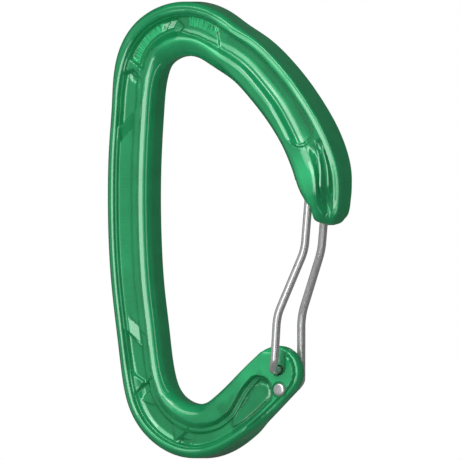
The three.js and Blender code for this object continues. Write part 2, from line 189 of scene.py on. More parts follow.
STATIONS = (
    Station(25.15, 50.95, 1.2, TIP, 1.6, 1.6),
    Station(25.15, 51.2, 2.7, TIP, 3.2, 3.4),
    Station(25.15, 51.7, 4.4, TIP, 4.6, 5.8),
    Station(25.1, 52.4, 5.7, TIP, 5.3, 7.3),
    Station(25.1, 53.5, 6.8, TIP, 5.7, 8.6),
    Station(25.2, 55.3, 7.7, TIP, 6.1, 9.8),
    Station(24.9, 56.9, 8.8, HOOD, 6.2, 10.8),
    Station(24.6, 58.5, 9.4, HOOD, 6.4, 11.6),
    Station(24.05, 60.8, 10.5, HOOD, 6.8, 11.8),
    Station(23.5, 62.9, 10.8, HOOD, 7.2, 11.3),
    Station(22.25, 65.8, 11.2, HOOD, 7.7, 9.9),
    Station(20.0, 70.1, 11.4, NOSE_ARM),
    Station(16.9, 74.8, 11.3, NOSE_ARM),
    Station(13.4, 79.2, 11.3, NOSE_ARM),
    Station(9.6, 83.2, 11.2, NOSE_ARM),
    Station(5.1, 87.1, 11.0, NOSE_ARM),
    Station(-0.5, 90.3, 11.4, TOP_BASKET),
    Station(-4.6, 92.75, 11.7, TOP_BASKET),
    Station(-9.3, 93.85, 11.9, TOP_BASKET),
    Station(-14.5, 93.05, 11.8, TOP_BASKET),
    Station(-19.6, 89.6, 11.55, TOP_BASKET),
    Station(-22.2, 83.6, 10.8, ARM),
    Station(-22.8, 77.5, 10.4, ARM),
    Station(-23.5, 68.0, 10.5, ARM),
    Station(-23.8, 58.0, 10.5, ARM),
    Station(-23.6, 47.5, 10.5, ARM),
    Station(-22.7, 36.0, 10.4, ARM),
    Station(-21.4, 26.5, 10.4, ARM),
    Station(-20.2, 18.2, 10.5, ARM),
    Station(-18.2, 12.3, 11.2, BOTTOM_BASKET),
    Station(-14.0, 7.95, 11.6, BOTTOM_BASKET),
    Station(-8.6, 6.0, 11.9, BOTTOM_BASKET),
    Station(-3.4, 6.6, 11.6, BOTTOM_BASKET),
    Station(1.1, 9.1, 11.4, BASE, 7.2, 7.2),
    Station(4.95, 12.25, 11.8, BASE, 5.8, 5.8),
    Station(8.35, 15.3, 11.8, MILLED, BOSS_THICKNESS, BOSS_THICKNESS),
    Station(*BOSS_CENTRE, 2 * BOSS_RADIUS, MILLED, BOSS_THICKNESS, BOSS_THICKNESS),
)


def natural_spline(at: np.ndarray, values: np.ndarray, wanted: np.ndarray) -> np.ndarray:
    """Draw a natural cubic spline through values and read it.

    Args:
        at: rising places of the given values.
        values: one value for each place.
        wanted: places to read.

    Returns:
        The spline's values at the wanted places.
    """
    gap = np.diff(at)
    count = len(at)
    system = np.eye(count)
    right = np.zeros(count)
    for i in range(1, count - 1):
        system[i, i - 1:i + 2] = gap[i - 1], 2 * (gap[i - 1] + gap[i]), gap[i]
        rise = (values[i + 1] - values[i]) / gap[i] - (values[i] - values[i - 1]) / gap[i - 1]
        right[i] = 6 * rise
    bend = np.linalg.solve(system, right)
    span = np.clip(np.searchsorted(at, wanted, side="right") - 1, 0, count - 2)
    g = gap[span]
    before = wanted - at[span]
    after = at[span + 1] - wanted
    cubic = (bend[span] * after**3 + bend[span + 1] * before**3) / (6 * g)
    low = (values[span] / g - bend[span] * g / 6) * after
    high = (values[span + 1] / g - bend[span + 1] * g / 6) * before
    return cubic + low + high


class Track:
    """Centreline of the forging with its section's sizes, read at a length along it."""

    STEP = 0.1
    SMOOTHING = 1.6              # millimetres along the line
    QUIET_END = 9.0              # the ends are left as drawn over this length

    def __init__(self, stations: tuple[Station, ...]) -> None:
        """Sample the line through the stations.

        Args:
            stations: sections of the forging, from the nose to the boss.
        """
        place = np.array([(s.x, s.z) for s in stations])
        chord = np.concatenate([[0], np.cumsum(np.hypot(*np.diff(place, axis=0).T))])
        t = np.arange(0, chord[-1], self.STEP)
        raw = {
            "x": natural_spline(chord, place[:, 0], t),
            "z": natural_spline(chord, place[:, 1], t),
            "width": natural_spline(chord, np.array([s.width for s in stations]), t),
        }
        plain = {
            "outer_thick": [s.outer_thick for s in stations],
            "inner_thick": [s.inner_thick for s in stations],
        }
        for name in EdgeForm.__dataclass_fields__:
            plain[name] = [getattr(s.form, name) for s in stations]
        for name, values in plain.items():
            raw[name] = np.interp(t, chord, values)
        end = np.minimum(t, chord[-1] - t)
        share = ramp(end, 0, self.QUIET_END)
        self.values = {name: self._smooth(v, share) for name, v in raw.items()}
        dx = np.gradient(self.values["x"])
        dz = np.gradient(self.values["z"])
        self.length_at = np.concatenate([[0], np.cumsum(np.hypot(dx[1:], dz[1:]))])
        self.length = float(self.length_at[-1])
        size = np.hypot(dx, dz)
        self.values["nx"] = dz / size
        self.values["nz"] = -dx / size

    def _smooth(self, values: np.ndarray, share: np.ndarray) -> np.ndarray:
        """Smooth values along the line.

        Args:
            values: one value for each sample.
            share: how much of the smoothing each sample takes.

        Returns:
            The smoothed values.
        """
        reach = int(4 * self.SMOOTHING / self.STEP)
        weights = np.exp(-0.5 * (np.arange(-reach, reach + 1) * self.STEP / self.SMOOTHING) ** 2)
        padded = np.pad(values, reach, mode="reflect", reflect_type="odd")
        even = np.convolve(padded, weights / weights.sum(), mode="valid")
        return values + (even - values) * share

    def at(self, length: np.ndarray) -> dict[str, np.ndarray]:
        """Read the line.

        Args:
            length: lengths along the line, from the nose.

        Returns:
            Every value of the line by its name, at those lengths.
        """
        return {name: np.interp(length, self.length_at, v) for name, v in self.values.items()}


class Face(Enum):
    """The two faces of the forging."""

    FRONT = -1
    BACK = 1


class Turn(Enum):
    """How the boundary of a step in the channel's floor runs across it."""

    SLANT = "slant"
    POINT = "point"


@dataclass(frozen=True)
class FloorStep:
    """A change of level in the channel's floor."""

    place: float                 # length along the forging at which the step crosses the line
    across: float                # the line's distance from the outer edge
    lean: float                  # how far the step shifts for each millimetre off the line
    level: float                 # depth of the floor beyond the step
    run: float = 0.36            # half the width of the step
    turn: Turn = Turn.SLANT

    def share(self, s: np.ndarray, n: np.ndarray) -> np.ndarray:
        """Work out how much of the new level holds.

        Args:
            s: places along the forging.
            n: places across it, from the outer edge.

        Returns:
            Shares from 0 to 1.
        """
        off = n - self.across
        if self.turn is Turn.POINT:
            off = np.abs(off)
        return ramp(s - self.place - self.lean * off, -self.run, self.run)


@dataclass(frozen=True)
class Facet:
    """A sloping patch of the channel's floor, deepest on its far side."""

    start: float                 # where the patch begins along the forging, on its low line
    stop: float                  # where it ends
    lean: float                  # how far both shift for each millimetre beyond the low line
    low: float                   # the low line's distance from the outer edge
    high: float                  # the patch's far side, from the outer edge
    along: float                 # slope along the forging, below 0 where it rises
    across: float                # slope across the forging

    BLUR = 0.2                   # half the width of the patch's edges

    def depth(self, s: np.ndarray, n: np.ndarray) -> np.ndarray:
        """Work out the depth that the patch adds.

        Args:
            s: places along the forging.
            n: places across it, from the outer edge.

        Returns:
            Depths in millimetres.
        """
        blur = self.BLUR
        slant = s - self.lean * (n - self.low)
        within = between(slant, self.start - blur, self.start + blur, self.stop - blur,
                         self.stop + blur)
        within = within * ramp(n, self.low - blur, self.low + blur / 2)
        fall = self.across * np.clip(n - self.low, 0, self.high - self.low)
        if self.along:
            within = within * ramp(-n, -self.high - blur, -self.high)
            beyond = slant - self.start if self.along > 0 else self.stop - slant
            fall = fall + abs(self.along) * beyond
        return within * fall


FACETS = (
    Facet(60.9, 62.5, 0.9, 3.6, 5.2, -0.31, 0.0),
    Facet(62.7, 64.3, 0.9, 3.6, 5.2, -0.31, 0.0),
    Facet(76.6, 77.8, 0.4, 3.6, 4.4, 0.0, 0.33),
    Facet(87.9, 91.3, -1.1, 2.7, 5.6, 0.28, 0.0),
    Facet(128.9, 133.3, 1.25, 3.2, 5.3, 0.0, 0.313),
    Facet(145.3, 147.2, -0.4, 3.0, 4.5, 0.0, 0.4),
    Facet(158.6, 160.6, 0.3, 2.7, 3.9, -0.31, 0.0),
)

FIRST_LEVEL = 1.45               # depth of the channel's floor beside the nose
FLOOR_STEPS = (
    FloorStep(51.2, 4.5, -1.0, 1.15),
    FloorStep(59.6, 5.5, 0.85, 1.85, 0.42, Turn.POINT),
    FloorStep(74.2, 4.5, 0.3, 0.95, 0.4),
    FloorStep(75.9, 4.6, 0.55, 1.8, 0.45, Turn.POINT),
    FloorStep(85.9, 4.5, -1.1, 1.0, 0.3),
    FloorStep(89.3, 4.5, -1.1, 1.15, 0.3),
    FloorStep(135.1, 4.6, 1.25, 1.75, 0.45),
    FloorStep(143.0, 4.2, 0.9, 1.15, 0.35),
    FloorStep(144.6, 4.2, -0.7, 1.6, 0.3),
    FloorStep(148.2, 4.2, 0.9, 1.75, 0.35),
    FloorStep(157.2, 4.0, -0.5, 1.15, 0.35),
    FloorStep(158.6, 4.0, 0.7, 1.6, 0.3),
    FloorStep(161.6, 4.0, 0.3, 1.5, 0.4),
)

# Slope at the foot of the outer wall: place along, its share of the depth, its width
SLOPES = ((0, 0.34, 1.2), (24, 0.34, 1.2), (32, 0.2, 0.8), (50, 0.15, 0.65), (56, 0.12, 0.5),
          (76, 0.12, 0.5), (84, 0.11, 0.6), (138, 0.12, 0.6), (146, 0.235, 1.0),
          (157, 0.25, 1.0), (162, 0.15, 0.5), (192, 0.15, 0.5))

# Bevel between the inner flange and the channel: place along, width
BEVELS = ((0, 0.5), (45, 0.5), (52, 0.9), (74, 0.9), (80, 0.1), (138, 0.1), (146, 0.5),
          (165, 0.5), (172, 0.1), (192, 0.1))

# Flanges: place along, width of the outer one, width of the inner one
LIPS = ((0, 1.3, 2.8), (16, 1.6, 2.8), (22, 1.6, 2.85), (26, 1.65, 3.1), (30, 1.75, 3.4),
        (45, 1.75, 3.6), (52, 2.0, 4.0), (60, 2.45, 4.2), (70, 2.55, 4.0), (76, 2.2, 3.0),
        (82, 1.75, 2.4), (135, 1.75, 2.4), (145, 1.95, 2.7), (152, 1.9, 3.3), (158, 1.9, 3.8),
        (163, 1.85, 4.6), (168, 1.75, 5.1), (172, 1.6, 4.9), (175, 1.5, 3.9), (178, 1.5, 3.0),
        (182, 1.5, 2.7), (192, 1.5, 2.7))


@dataclass(frozen=True)
class WallForm:
    """A wall of the channel: a first drop, a ledge, and a second drop to the floor."""

    share: float                 # part of the depth that the first drop takes
    first_run: float
    ledge: float
    second_run: float
    foot_run: float = 0.0        # gentle foot below the second drop


OUTER_WALL = WallForm(0.42, 0.46, 0.04, 0.5)
ARM_WALL = WallForm(0.72, 1.65, 0.15, 0.7, 0.75)
TOP_WALL = WallForm(0.85, 0.6, 0.1, 0.35, 1.0)
CORNER_WALL = WallForm(0.85, 1.7, 0.1, 0.6)
SPINE_WALL = WallForm(0.3, 0.8, 0.45, 1.6)
BEND_WALL = WallForm(0.5, 0.9, 0.5, 1.0)
BASE_WALL = WallForm(0.68, 0.6, 0.75, 0.45)
WALLS = ((0, ARM_WALL), (46, ARM_WALL), (53, TOP_WALL), (58, TOP_WALL), (62, CORNER_WALL),
         (73, CORNER_WALL), (79, SPINE_WALL), (138, SPINE_WALL), (148, BEND_WALL),
         (160, BEND_WALL), (168, BASE_WALL), (192, BASE_WALL))

# Rounded ends of the channel: place across the forging, place along it
NOSE_END = ((1.5, 21.4), (1.8, 20.3), (2.4, 19.3), (3.0, 18.8), (4.0, 18.3), (5.0, 17.95),
            (6.0, 17.85), (7.0, 18.15), (7.7, 18.8), (8.2, 19.7), (8.6, 21.2))
BASE_END = ((1.0, 180.2), (1.6, 181.4), (2.6, 182.7), (4.0, 183.6), (5.5, 183.9), (7.0, 183.3),
            (8.2, 182.4), (9.2, 180.8))

# Walls at the channel's rounded ends: share of the depth, from and to inside the end
END_STEPS = ((0.6, 0, 0.5), (0.4, 0.85, 1.4))
WALL_FILLET = 0.12               # between the outer and the inner wall's forms
END_FILLET = 0.15                # between the walls and the ends

# Raised panel in the base's channel: place along, lower edge and upper edge across
BASE_PANEL = ((170.6, 3.4, 4.0), (171.6, 3.1, 5.2), (173.5, 3.0, 5.5), (176.3, 3.0, 6.0),
              (178.0, 3.0, 7.0), (180.0, 3.0, 7.3), (181.3, 3.4, 6.6), (182.2, 4.3, 5.4))
PANEL_RISE = 0.22
PANEL_BLUR = 0.3                 # half the width of the panel's sloping edge

# Hood's bulge: place along, its start from the outer edge, its wall's width, then the slope and
# the width of its bevel
HOOD_WALL = ((0.0, 3.2, 2.4, 0.2, 0.5), (2.6, 3.7, 2.2, 0.2, 0.5), (4.4, 4.4, 1.3, 0.28, 0.5),
             (6.0, 4.5, 0.8, 0.29, 0.5), (8.5, 4.4, 0.7, 0.3, 0.55), (10.0, 4.45, 0.7, 0.33, 0.65),
             (12.2, 4.6, 0.7, 0.38, 0.85), (15.3, 5.1, 0.8, 0.41, 1.0), (20.0, 5.9, 1.6, 0.42, 1.0))

# Ridges of the flutes beside the bulge: place along, then the three ridges from the outer edge
FLUTES = ((1.0, 1.2, 1.6, 2.2), (3.0, 1.3, 2.1, 3.1), (6.0, 1.4, 2.45, 3.9), (9.0, 1.4, 2.4, 3.9),
          (12.2, 1.35, 2.1, 3.5), (15.3, 1.3, 1.95, 3.2), (19.0, 1.3, 1.8, 3.0))
RIDGE_SHARES = (0.0, 0.3, 0.76, 1.0)  # heights of the ridges, as parts of the bulge's height

# Lengthwise lines of the front face between the outer round, the flange's edge, the wall's foot,
# the slope's foot, the inner wall's foot, its top, the bevel's edge and the inner round
LINE_COUNTS = (6, 12, 12, 12, 28, 4, 4)
OUTER_ARC_LINES = 9
INNER_ARC_LINES = 12
EDGE_SHARES = (0.12, 0.37, 0.63, 0.88)  # lines over the thickness, between the two faces

# Sections: places at the nose, then where each zone stops and how far apart its sections stand
TIP_PLACES = (0.0, 0.1, 0.22, 0.4, 0.6, 0.85, 1.1)
FIRST_ZONE = 1.4                 # where the first zone starts
ZONES = ((24, 0.27), (48, 0.5), (64, 0.2), (70, 0.35), (78, 0.22), (84, 0.4), (91, 0.24),
         (130, 0.55), (150, 0.24), (155, 0.4), (163, 0.22))
LAST_PITCH = 0.27                # from the last zone to the end of the centreline

# Lengths over which a form holds: its rise from and to, then its fall from and to
BULGE_SPAN = (1.4, 4.0, 16.4, 18.2)
BULGE_BEVEL_SPAN = (3, 6, 17, 20)
FLUTE_SPAN = (4.2, 8.2, 14.4, 17.6)
FLANGE_LEAN_SPAN = (44, 52, 164, 172)
ARM_LEAN_SPAN = (1, 5, 46, 56)
CREST_SPAN = (50, 60, 174, 182)
LINE_SPAN = (47, 53, 70, 78)
LINE_ACROSS = (-1.1, -0.9, -0.65, -0.45)  # the line's groove, measured from the channel's edge
MATT_FLANGE_SPAN = (46, 50, 64, 69)

# Places with brushing, or, where the last value is below 0, darkened by painted shade in the
# channels'
# floors and walls: from and to along the forging, from and to across it, how much
BRUSHING_AND_SHADE_PATCHES = ((51.6, 58.4, 3.3, 5.2, 0.9), (64.6, 74.0, 3.7, 5.2, 0.9), (20.0, 49.0, 2.9, 4.4, -0.55),
           (90.0, 134.0, 3.1, 6.6, 0.06), (170.0, 183.6, 1.8, 8.6, -0.75),
           (148.0, 170.0, 3.4, 7.4, -0.35), (61.0, 76.0, 5.5, 7.4, -0.3),
           (60.0, 76.0, 2.3, 3.5, -0.2), (58.6, 61.0, 3.2, 7.0, -0.3),
           (21.0, 46.0, 6.2, 7.9, -0.3), (84.0, 140.0, 1.1, 2.3, -0.2),
           (7.0, 17.5, 1.6, 4.4, -0.2))
PATCH_BLUR = 0.3                 # half the width of each patch's edges, for brushing and painted shade alike


@dataclass
class Forging:
    """The body: a lofted I-beam with stepped channel floors, a hooded nose and a milled boss."""

    flange_lean: float = 0.28    # the inner flange falls this far over its lean's width
    flange_lean_run: float = 0.9
    arm_lean: float = 0.25       # the nose arm's outer flange falls this far towards its edge
    arm_lean_run: float = 0.8
    rim_step: float = 0.9        # step outside the boss's milled face
    rim_inset: float = 1.15      # the step's distance from the boss's edge
    bulge_lip: float = 0.1       # the bulge's wall ends this far past its start
    crest_lean: float = 0.14     # the outer flange falls this far beside the channel
    crest_lean_run: float = 0.45
    line_depth: float = 0.13     # thin groove along the outer flange at the top
    foot_slope: float = 0.3      # slope of the inner wall's bevel and of its foot
    foot_lap: float = 0.1        # how far a wall's foot starts before the end of its drop
    valley: float = 0.5          # hollow beside the bulge where the flutes fade out
    flute_slope: float = 0.3     # slope of the band beside each ridge
    flute_depth: float = 0.25    # how far a flute lies below its outer ridge
    flute_band: float = 0.25     # the band's part of a flute's width
    last_flute: float = 0.22     # extra depth of the innermost flute for its width
    crease: float = 40.0         # degrees between the inner flange and the start of its round
    relief_radius: float = 2.0   # groove beside the near leg
    relief_depth: float = 1.0
    relief_side: float = 0.575   # the groove's axis lies this far beside the near hole
    relief_foot: float = 1.35    # its foot lies this far below the hole's axis
    relief_length: float = 15.0
    hole: float = WIRE_DIAMETER + 0.4
    seat: float = 3.5            # diameter of the seat of a head
    seat_depth: float = 0.3
    room_above: float = 0.62     # extra space above the crossbar in the nose's room
    room_below: float = 9.0      # from the crossbar down to the cutter's end
    room_run: float = 6.0        # from the crossbar to the cutter's open side
    room_half: float = 4.95      # half the width of the room
    hook_half: float = 2.45      # half the width of the hook in it
    track: Track = field(default_factory=lambda: Track(STATIONS))

    def along(self) -> np.ndarray:
        """Choose where the sections stand, closer together where the floor has detail.

        Returns:
            Rising lengths along the centreline, past its end for the boss's round end.
        """
        run = self.track.length
        places = []
        start = FIRST_ZONE
        for stop, pitch in (*ZONES, (run, LAST_PITCH)):
            count = round((stop - start) / pitch)
            places.append(np.linspace(start, stop, count, endpoint=False))
            start = stop
        cap = run + BOSS_RADIUS * np.sin(np.linspace(0, math.radians(88), 22))
        return np.concatenate([TIP_PLACES, *places, cap])

    def sizes(self, length: np.ndarray) -> dict[str, np.ndarray]:
        """Work out the sections, with the boss's round end added.

        Args:
            length: lengths along the centreline.

        Returns:
            Every size of the sections by its name.
        """
        s = self.track.at(length)
        past = np.clip(length - self.track.length, 0, None)
        s["x"] = s["x"] - s["nz"] * past
        s["z"] = s["z"] + s["nx"] * past
        chord = 2 * np.sqrt(np.clip(BOSS_RADIUS**2 - past**2, 0, None))
        s["width"] = np.where(past > 0, chord, s["width"])
        s["past"] = past
        s["length"] = length
        tight = np.minimum(1, s["width"] / 10.3)
        s["outer_lip"] = read(LIPS, length) * tight
        s["inner_lip"] = read(LIPS, length, 2) * tight
        s["slope_share"] = read(SLOPES, length)
        s["slope_run"] = read(SLOPES, length, 2)
        s["bevel"] = read(BEVELS, length)
        for name in WallForm.__dataclass_fields__:
            s[name] = read(tuple((place, getattr(form, name)) for place, form in WALLS), length)
        return s

    def lateral(self, s: dict[str, np.ndarray], fine: bool) -> np.ndarray:
        """Place the lengthwise lines of a face.

        Args:
            s: sizes of the sections.
            fine: True for the closely drawn front face.

        Returns:
            Array of sections by lines, rising from the outer edge to the inner edge.
        """
        density = 1.0 if fine else 0.5
        width = s["width"][:, None]
        outer_round = np.minimum(s["outer_round"][:, None], width * 0.3)
        inner_round = np.minimum(s["inner_round"][:, None], width * 0.3)
        lip_out = s["outer_lip"][:, None]
        lip_in = width - s["inner_lip"][:, None]
        wall_run = (s["first_run"] + s["ledge"] + s["second_run"] + s["foot_run"])[:, None]
        small = width * 0.002
        last = width - inner_round
        stops = [outer_round]
        places = (
            lip_out - 0.12,
            lip_out + self.outer_run(),
            lip_out + self.outer_run() + s["slope_run"][:, None],
            lip_in - wall_run - 0.15,
            lip_in + 0.15,
            lip_in + s["bevel"][:, None] + 0.1,
        )
        near = ramp(-s["length"], -20, -17)[:, None]
        for i, (wanted, guide) in enumerate(zip(places, self.hood_lines(s))):
            wanted = wanted + (guide - wanted) * near
            room = last - small * (len(places) - i)
            stops.append(np.minimum(np.maximum(wanted, stops[-1] + small), room))
        stops.append(last)
        parts = [self.arc(outer_round, OUTER_ARC_LINES, density)[:, :-1]]
        for low, high, count in zip(stops, stops[1:], LINE_COUNTS):
            share = np.linspace(0, 1, max(2, round(count * density)) + 1)
            parts.append(low + (high - low) * share[:-1])
        parts.append((width - self.arc(inner_round, INNER_ARC_LINES, density))[:, ::-1])
        return np.minimum(np.concatenate(parts, axis=1), width)

    def hood_lines(self, s: dict[str, np.ndarray]) -> list[np.ndarray]:
        """Find where the hood's ridges and the edges of its bulge run across each section.

        Args:
            s: sizes of the sections.

        Returns:
            Six columns of distances from the outer edge, one for each line.
        """
        begin, _, _, bevel_run = self.hood_wall(s)
        lip = begin + self.bulge_lip
        return [*self.ridges(s), begin - 0.3, lip, lip + bevel_run]

    @staticmethod
    def ridges(s: dict[str, np.ndarray]) -> list[np.ndarray]:
        """Find the three ridges of the flutes.

        Args:
            s: sizes of the sections.

        Returns:
            A column of distances from the outer edge for each ridge.
        """
        return [read(FLUTES, s["length"][:, None], i) for i in (1, 2, 3)]

    @staticmethod
    def outer_run() -> float:
        """Add up the outer wall.

        Returns:
            Its width, without the slope below it.
        """
        return OUTER_WALL.first_run + OUTER_WALL.ledge + OUTER_WALL.second_run

    @staticmethod
    def arc(size: np.ndarray, count: int, density: float) -> np.ndarray:
        """Place lines over a rounded edge, closer together where it is steep.

        Args:
            size: width of the edge at each section.
            count: steps over the edge.
            density: share of those steps that is made.

        Returns:
            Distances from the edge.
        """
        angle = np.linspace(0, math.pi / 2, round(count * density) + 1)
        return size * (1 - np.cos(angle))

    def floor(self, s: np.ndarray, n: np.ndarray) -> np.ndarray:
        """Work out how deep the channel's floor lies.

        Args:
            s: places along the forging.
            n: places across it, from the outer edge.

        Returns:
            Depths below the flanges, in millimetres.
        """
        level = np.full(np.broadcast(s, n).shape, FIRST_LEVEL)
        for step in FLOOR_STEPS:
            level = level + (step.level - level) * step.share(s, n)
        for facet in FACETS:
            level = level + facet.depth(s, n)
        inside = np.minimum(n - read(BASE_PANEL, s), read(BASE_PANEL, s, 2) - n)
        inside = np.minimum(inside, np.minimum(s - BASE_PANEL[0][0], BASE_PANEL[-1][0] - s))
        return level - PANEL_RISE * ramp(inside, -PANEL_BLUR, PANEL_BLUR)

    def depth(self, s: dict[str, np.ndarray], n: np.ndarray) -> np.ndarray:
        """Work out how far the channel lies below the flanges.

        Args:
            s: sizes of the sections.
            n: places across the face, from the outer edge.

        Returns:
            Depths in millimetres, none below 0.
        """
        length = s["length"][:, None]
        floor = self.floor(length, n)
        walls = soft_min(self.outer_side(s, n, floor), self.inner_side(s, n, floor), WALL_FILLET)
        ends = np.minimum(length - read(NOSE_END, n), read(BASE_END, n) - length)
        stop = sum(share * floor * ramp(ends, start, full) for share, start, full in END_STEPS)
        return np.clip(soft_min(walls, stop, END_FILLET), 0, None)

    def outer_side(self, s: dict[str, np.ndarray], n: np.ndarray,
                   floor: np.ndarray) -> np.ndarray:
        """Work out the channel's outer wall and the slope at its foot.

        Args:
            s: sizes of the sections.
            n: places across the face, from the outer edge.
            floor: depths of the channel's floor.

        Returns:
            Depths in millimetres.
        """
        inside = n - s["outer_lip"][:, None]
        step = OUTER_WALL.first_run + OUTER_WALL.ledge
        run = self.outer_run()
        slope_share = s["slope_share"][:, None]
        second = 1 - OUTER_WALL.share - slope_share
        down = OUTER_WALL.share * ramp(inside, 0, OUTER_WALL.first_run)
        down = down + second * ramp(inside, step, run)
        slope = (inside - run + self.foot_lap) / s["slope_run"][:, None]
        return floor * (down + slope_share * np.clip(slope, 0, 1))

    def inner_side(self, s: dict[str, np.ndarray], n: np.ndarray,
                   floor: np.ndarray) -> np.ndarray:
        """Work out the channel's inner wall with its bevel and its foot.

        Args:
            s: sizes of the sections.
            n: places across the face, from the outer edge.
            floor: depths of the channel's floor.

        Returns:
            Depths in millimetres.
        """
        inside = s["width"][:, None] - s["inner_lip"][:, None] - n
        first = floor * s["share"][:, None]
        first_run = s["first_run"][:, None]
        begin = first_run + s["ledge"][:, None]
        end = begin + s["second_run"][:, None]
        bevel = s["bevel"][:, None]
        foot_run = s["foot_run"][:, None]
        foot = self.foot_slope * foot_run
        edge = self.foot_slope * bevel
        down = edge * np.clip(1 + inside / bevel, 0, 1)
        down = down + (first - edge) * ramp(inside, -0.1, first_run)
        down = down + (floor - first - foot) * ramp(inside, begin, end)
        slope = (inside - end + self.foot_lap) / (foot_run + 0.01)
        return down + foot * np.clip(slope, 0, 1)

    def hood_side(self, s: dict[str, np.ndarray], n: np.ndarray, high: np.ndarray) -> np.ndarray:
        """Work out the bulge and the three flutes beside it.

        Args:
            s: sizes of the sections.
            n: places across the face, from the outer edge.
            high: how far the bulge stands above the outer flange.

        Returns:
            Heights above the outer flange.
        """
        length = s["length"][:, None]
        begin, run, _, _ = self.hood_wall(s)
        ridges = [*self.ridges(s), begin]
        half = (ridges[2] - ridges[0]) / 2
        valley = self.valley * ramp(1 - np.abs(n - ridges[0] - half) / half, 0.0, 0.5)
        plain = high * ramp(n, begin - run, begin + self.bulge_lip)
        plain = plain - valley * between(length, *BULGE_SPAN)
        side = np.where(n < begin, 0, high + 0 * n)
        for i in range(3):
            low, top = ridges[i], ridges[i + 1]
            low_high, top_high = RIDGE_SHARES[i] * high, RIDGE_SHARES[i + 1] * high
            shelf_share = self.flute_band if i < 2 else 0.0
            deep = self.flute_depth + (0.0 if i < 2 else self.last_flute * (top - low))
            across = (n - low) / (top - low)
            shelf = top_high - self.flute_slope * (top - low) * (1 - across)
            bottom = low_high - deep
            edge = top_high - self.flute_slope * (top - low) * shelf_share
            climb = np.clip((across - 1 / 3) / (2 / 3 - shelf_share), 0, 1)
            wall = bottom + (edge - bottom) * climb
            back = low_high - deep * np.clip(across * 6, 0, 1)
            groove = np.where(across > 1 - shelf_share, shelf, np.maximum(wall, back))
            side = np.where((across >= 0) & (across < 1), groove, side)
        return plain + (side - plain) * between(length, *FLUTE_SPAN)

    @staticmethod
    def hood_wall(s: dict[str, np.ndarray]) -> tuple[np.ndarray, ...]:
        """Read the hood's bulge.

        Args:
            s: sizes of the sections.

        Returns:
            Columns of its start, its wall's width, and its bevel's slope and width.
        """
        return tuple(read(HOOD_WALL, s["length"][:, None], i) for i in (1, 2, 3, 4))

    def face(self, s: dict[str, np.ndarray], n: np.ndarray) -> np.ndarray:
        """Work out the half thickness of the forging.

        Args:
            s: sizes of the sections.
            n: places across the face, from the outer edge.

        Returns:
            Heights of the face above the middle plane.
        """
        width = s["width"][:, None]
        past = s["past"][:, None]
        outer_half = s["outer_thick"][:, None] / 2
        inner_half = s["inner_thick"][:, None] / 2
        begin, _, bevel, bevel_run = self.hood_wall(s)
        length = s["length"][:, None]
        fall = bevel * np.clip(begin + self.bulge_lip + bevel_run - n, 0, bevel_run)
        fall = fall * between(length, *BULGE_BEVEL_SPAN)
        top = outer_half + self.hood_side(s, n, inner_half - outer_half - fall)
        rim = BOSS_RADIUS - np.hypot(width / 2 - n, past)
        to_outer = np.where(past > 0, rim, n)
        to_inner = np.where(past > 0, rim, width - n)
        outer_round = np.minimum(s["outer_round"][:, None], width * 0.3 + past)
        inner_round = np.minimum(s["inner_round"][:, None], width * 0.3 + past)
        outer_high = np.minimum(outer_round, outer_half - 0.1)
        inner_high = np.minimum(s["inner_high"][:, None], inner_half - 0.1)
        lean = self.flange_lean * between(length, *FLANGE_LEAN_SPAN)
        run = self.flange_lean_run
        top = top - lean * np.clip((inner_round + run - to_inner) / run, 0, 1)
        run = self.arm_lean_run
        arm = self.arm_lean * between(length, *ARM_LEAN_SPAN)
        top = top - arm * np.clip((outer_round + run - to_outer) / run, 0, 1)
        rim_share = ramp(length, 172, 177) * np.where(n < width / 2, 1, ramp(past, 0, 3.5))
        rim_fall = ramp(-to_outer, -self.rim_inset, 0.3 - self.rim_inset)
        top = top - self.rim_step * rim_share * rim_fall
        beside = n - s["outer_lip"][:, None]
        crest = self.crest_lean * np.clip(1 + beside / self.crest_lean_run, 0, 1)
        top = top - crest * between(length, *CREST_SPAN)
        line = self.line_depth * between(beside, *LINE_ACROSS)
        top = top - line * between(length, *LINE_SPAN)
        top = top - self.edge_drop(to_outer, outer_round, outer_high)
        top = top - self.edge_drop(to_inner, inner_round, inner_high - lean, self.crease)
        return top - self.depth(s, n)

    @staticmethod
    def edge_drop(inside: np.ndarray, reach: np.ndarray, high: np.ndarray,
                  crease: float = 0.0) -> np.ndarray:
        """Work out how far a rounded edge falls.

        Args:
            inside: distances inside the edge.
            reach: width of the rounded edge.
            high: its whole fall.
            crease: angle at which the edge breaks away from the flat, in degrees.

        Returns:
            The fall in millimetres.
        """
        share = np.clip(1 - inside / reach, 0, 1)
        start = math.sin(math.radians(crease))
        level = math.cos(math.radians(crease))
        sine = start + share * (1 - start)
        return high * (level - np.sqrt(np.clip(1 - sine**2, 0, 1))) / level

    def grain(self, s: dict[str, np.ndarray], n: np.ndarray) -> tuple[np.ndarray, np.ndarray]:
        """Work out how much brushing, matting and painted shade the forging has.

        Args:
            s: sizes of the sections.
            n: places across the face, from the outer edge.

        Returns:
            The brushing, which is below 0 where painted shade darkens the colour instead, and the
            matting.
        """
        length = s["length"][:, None]
        width = s["width"][:, None]
        brushing_and_shade = np.zeros_like(n)
        blur = PATCH_BLUR
        # Patches with an amount below 0 are painted shade in the channels' floors and walls.
        for start, stop, low, high, much in BRUSHING_AND_SHADE_PATCHES:
            inside = between(length, start - blur, start + blur, stop - blur, stop + blur)
            brushing_and_shade = brushing_and_shade + much * inside * between(n, low - blur, low + 0.1, high, high + blur)
        begin, _, _, bevel_run = self.hood_wall(s)
        hood = ramp(n, begin + bevel_run, begin + bevel_run + 0.3)
        hood = hood * ramp(-length, -19, -14)
        flange = 0.8 * ramp(n, width - 4.2, width - 3.8) * between(length, *MATT_FLANGE_SPAN)
        boss = ramp(length, 176, 181) * (self.depth(s, n) < 0.05)
        return np.clip(brushing_and_shade, -1, 1), np.clip(hood + flange + boss, 0, 1)

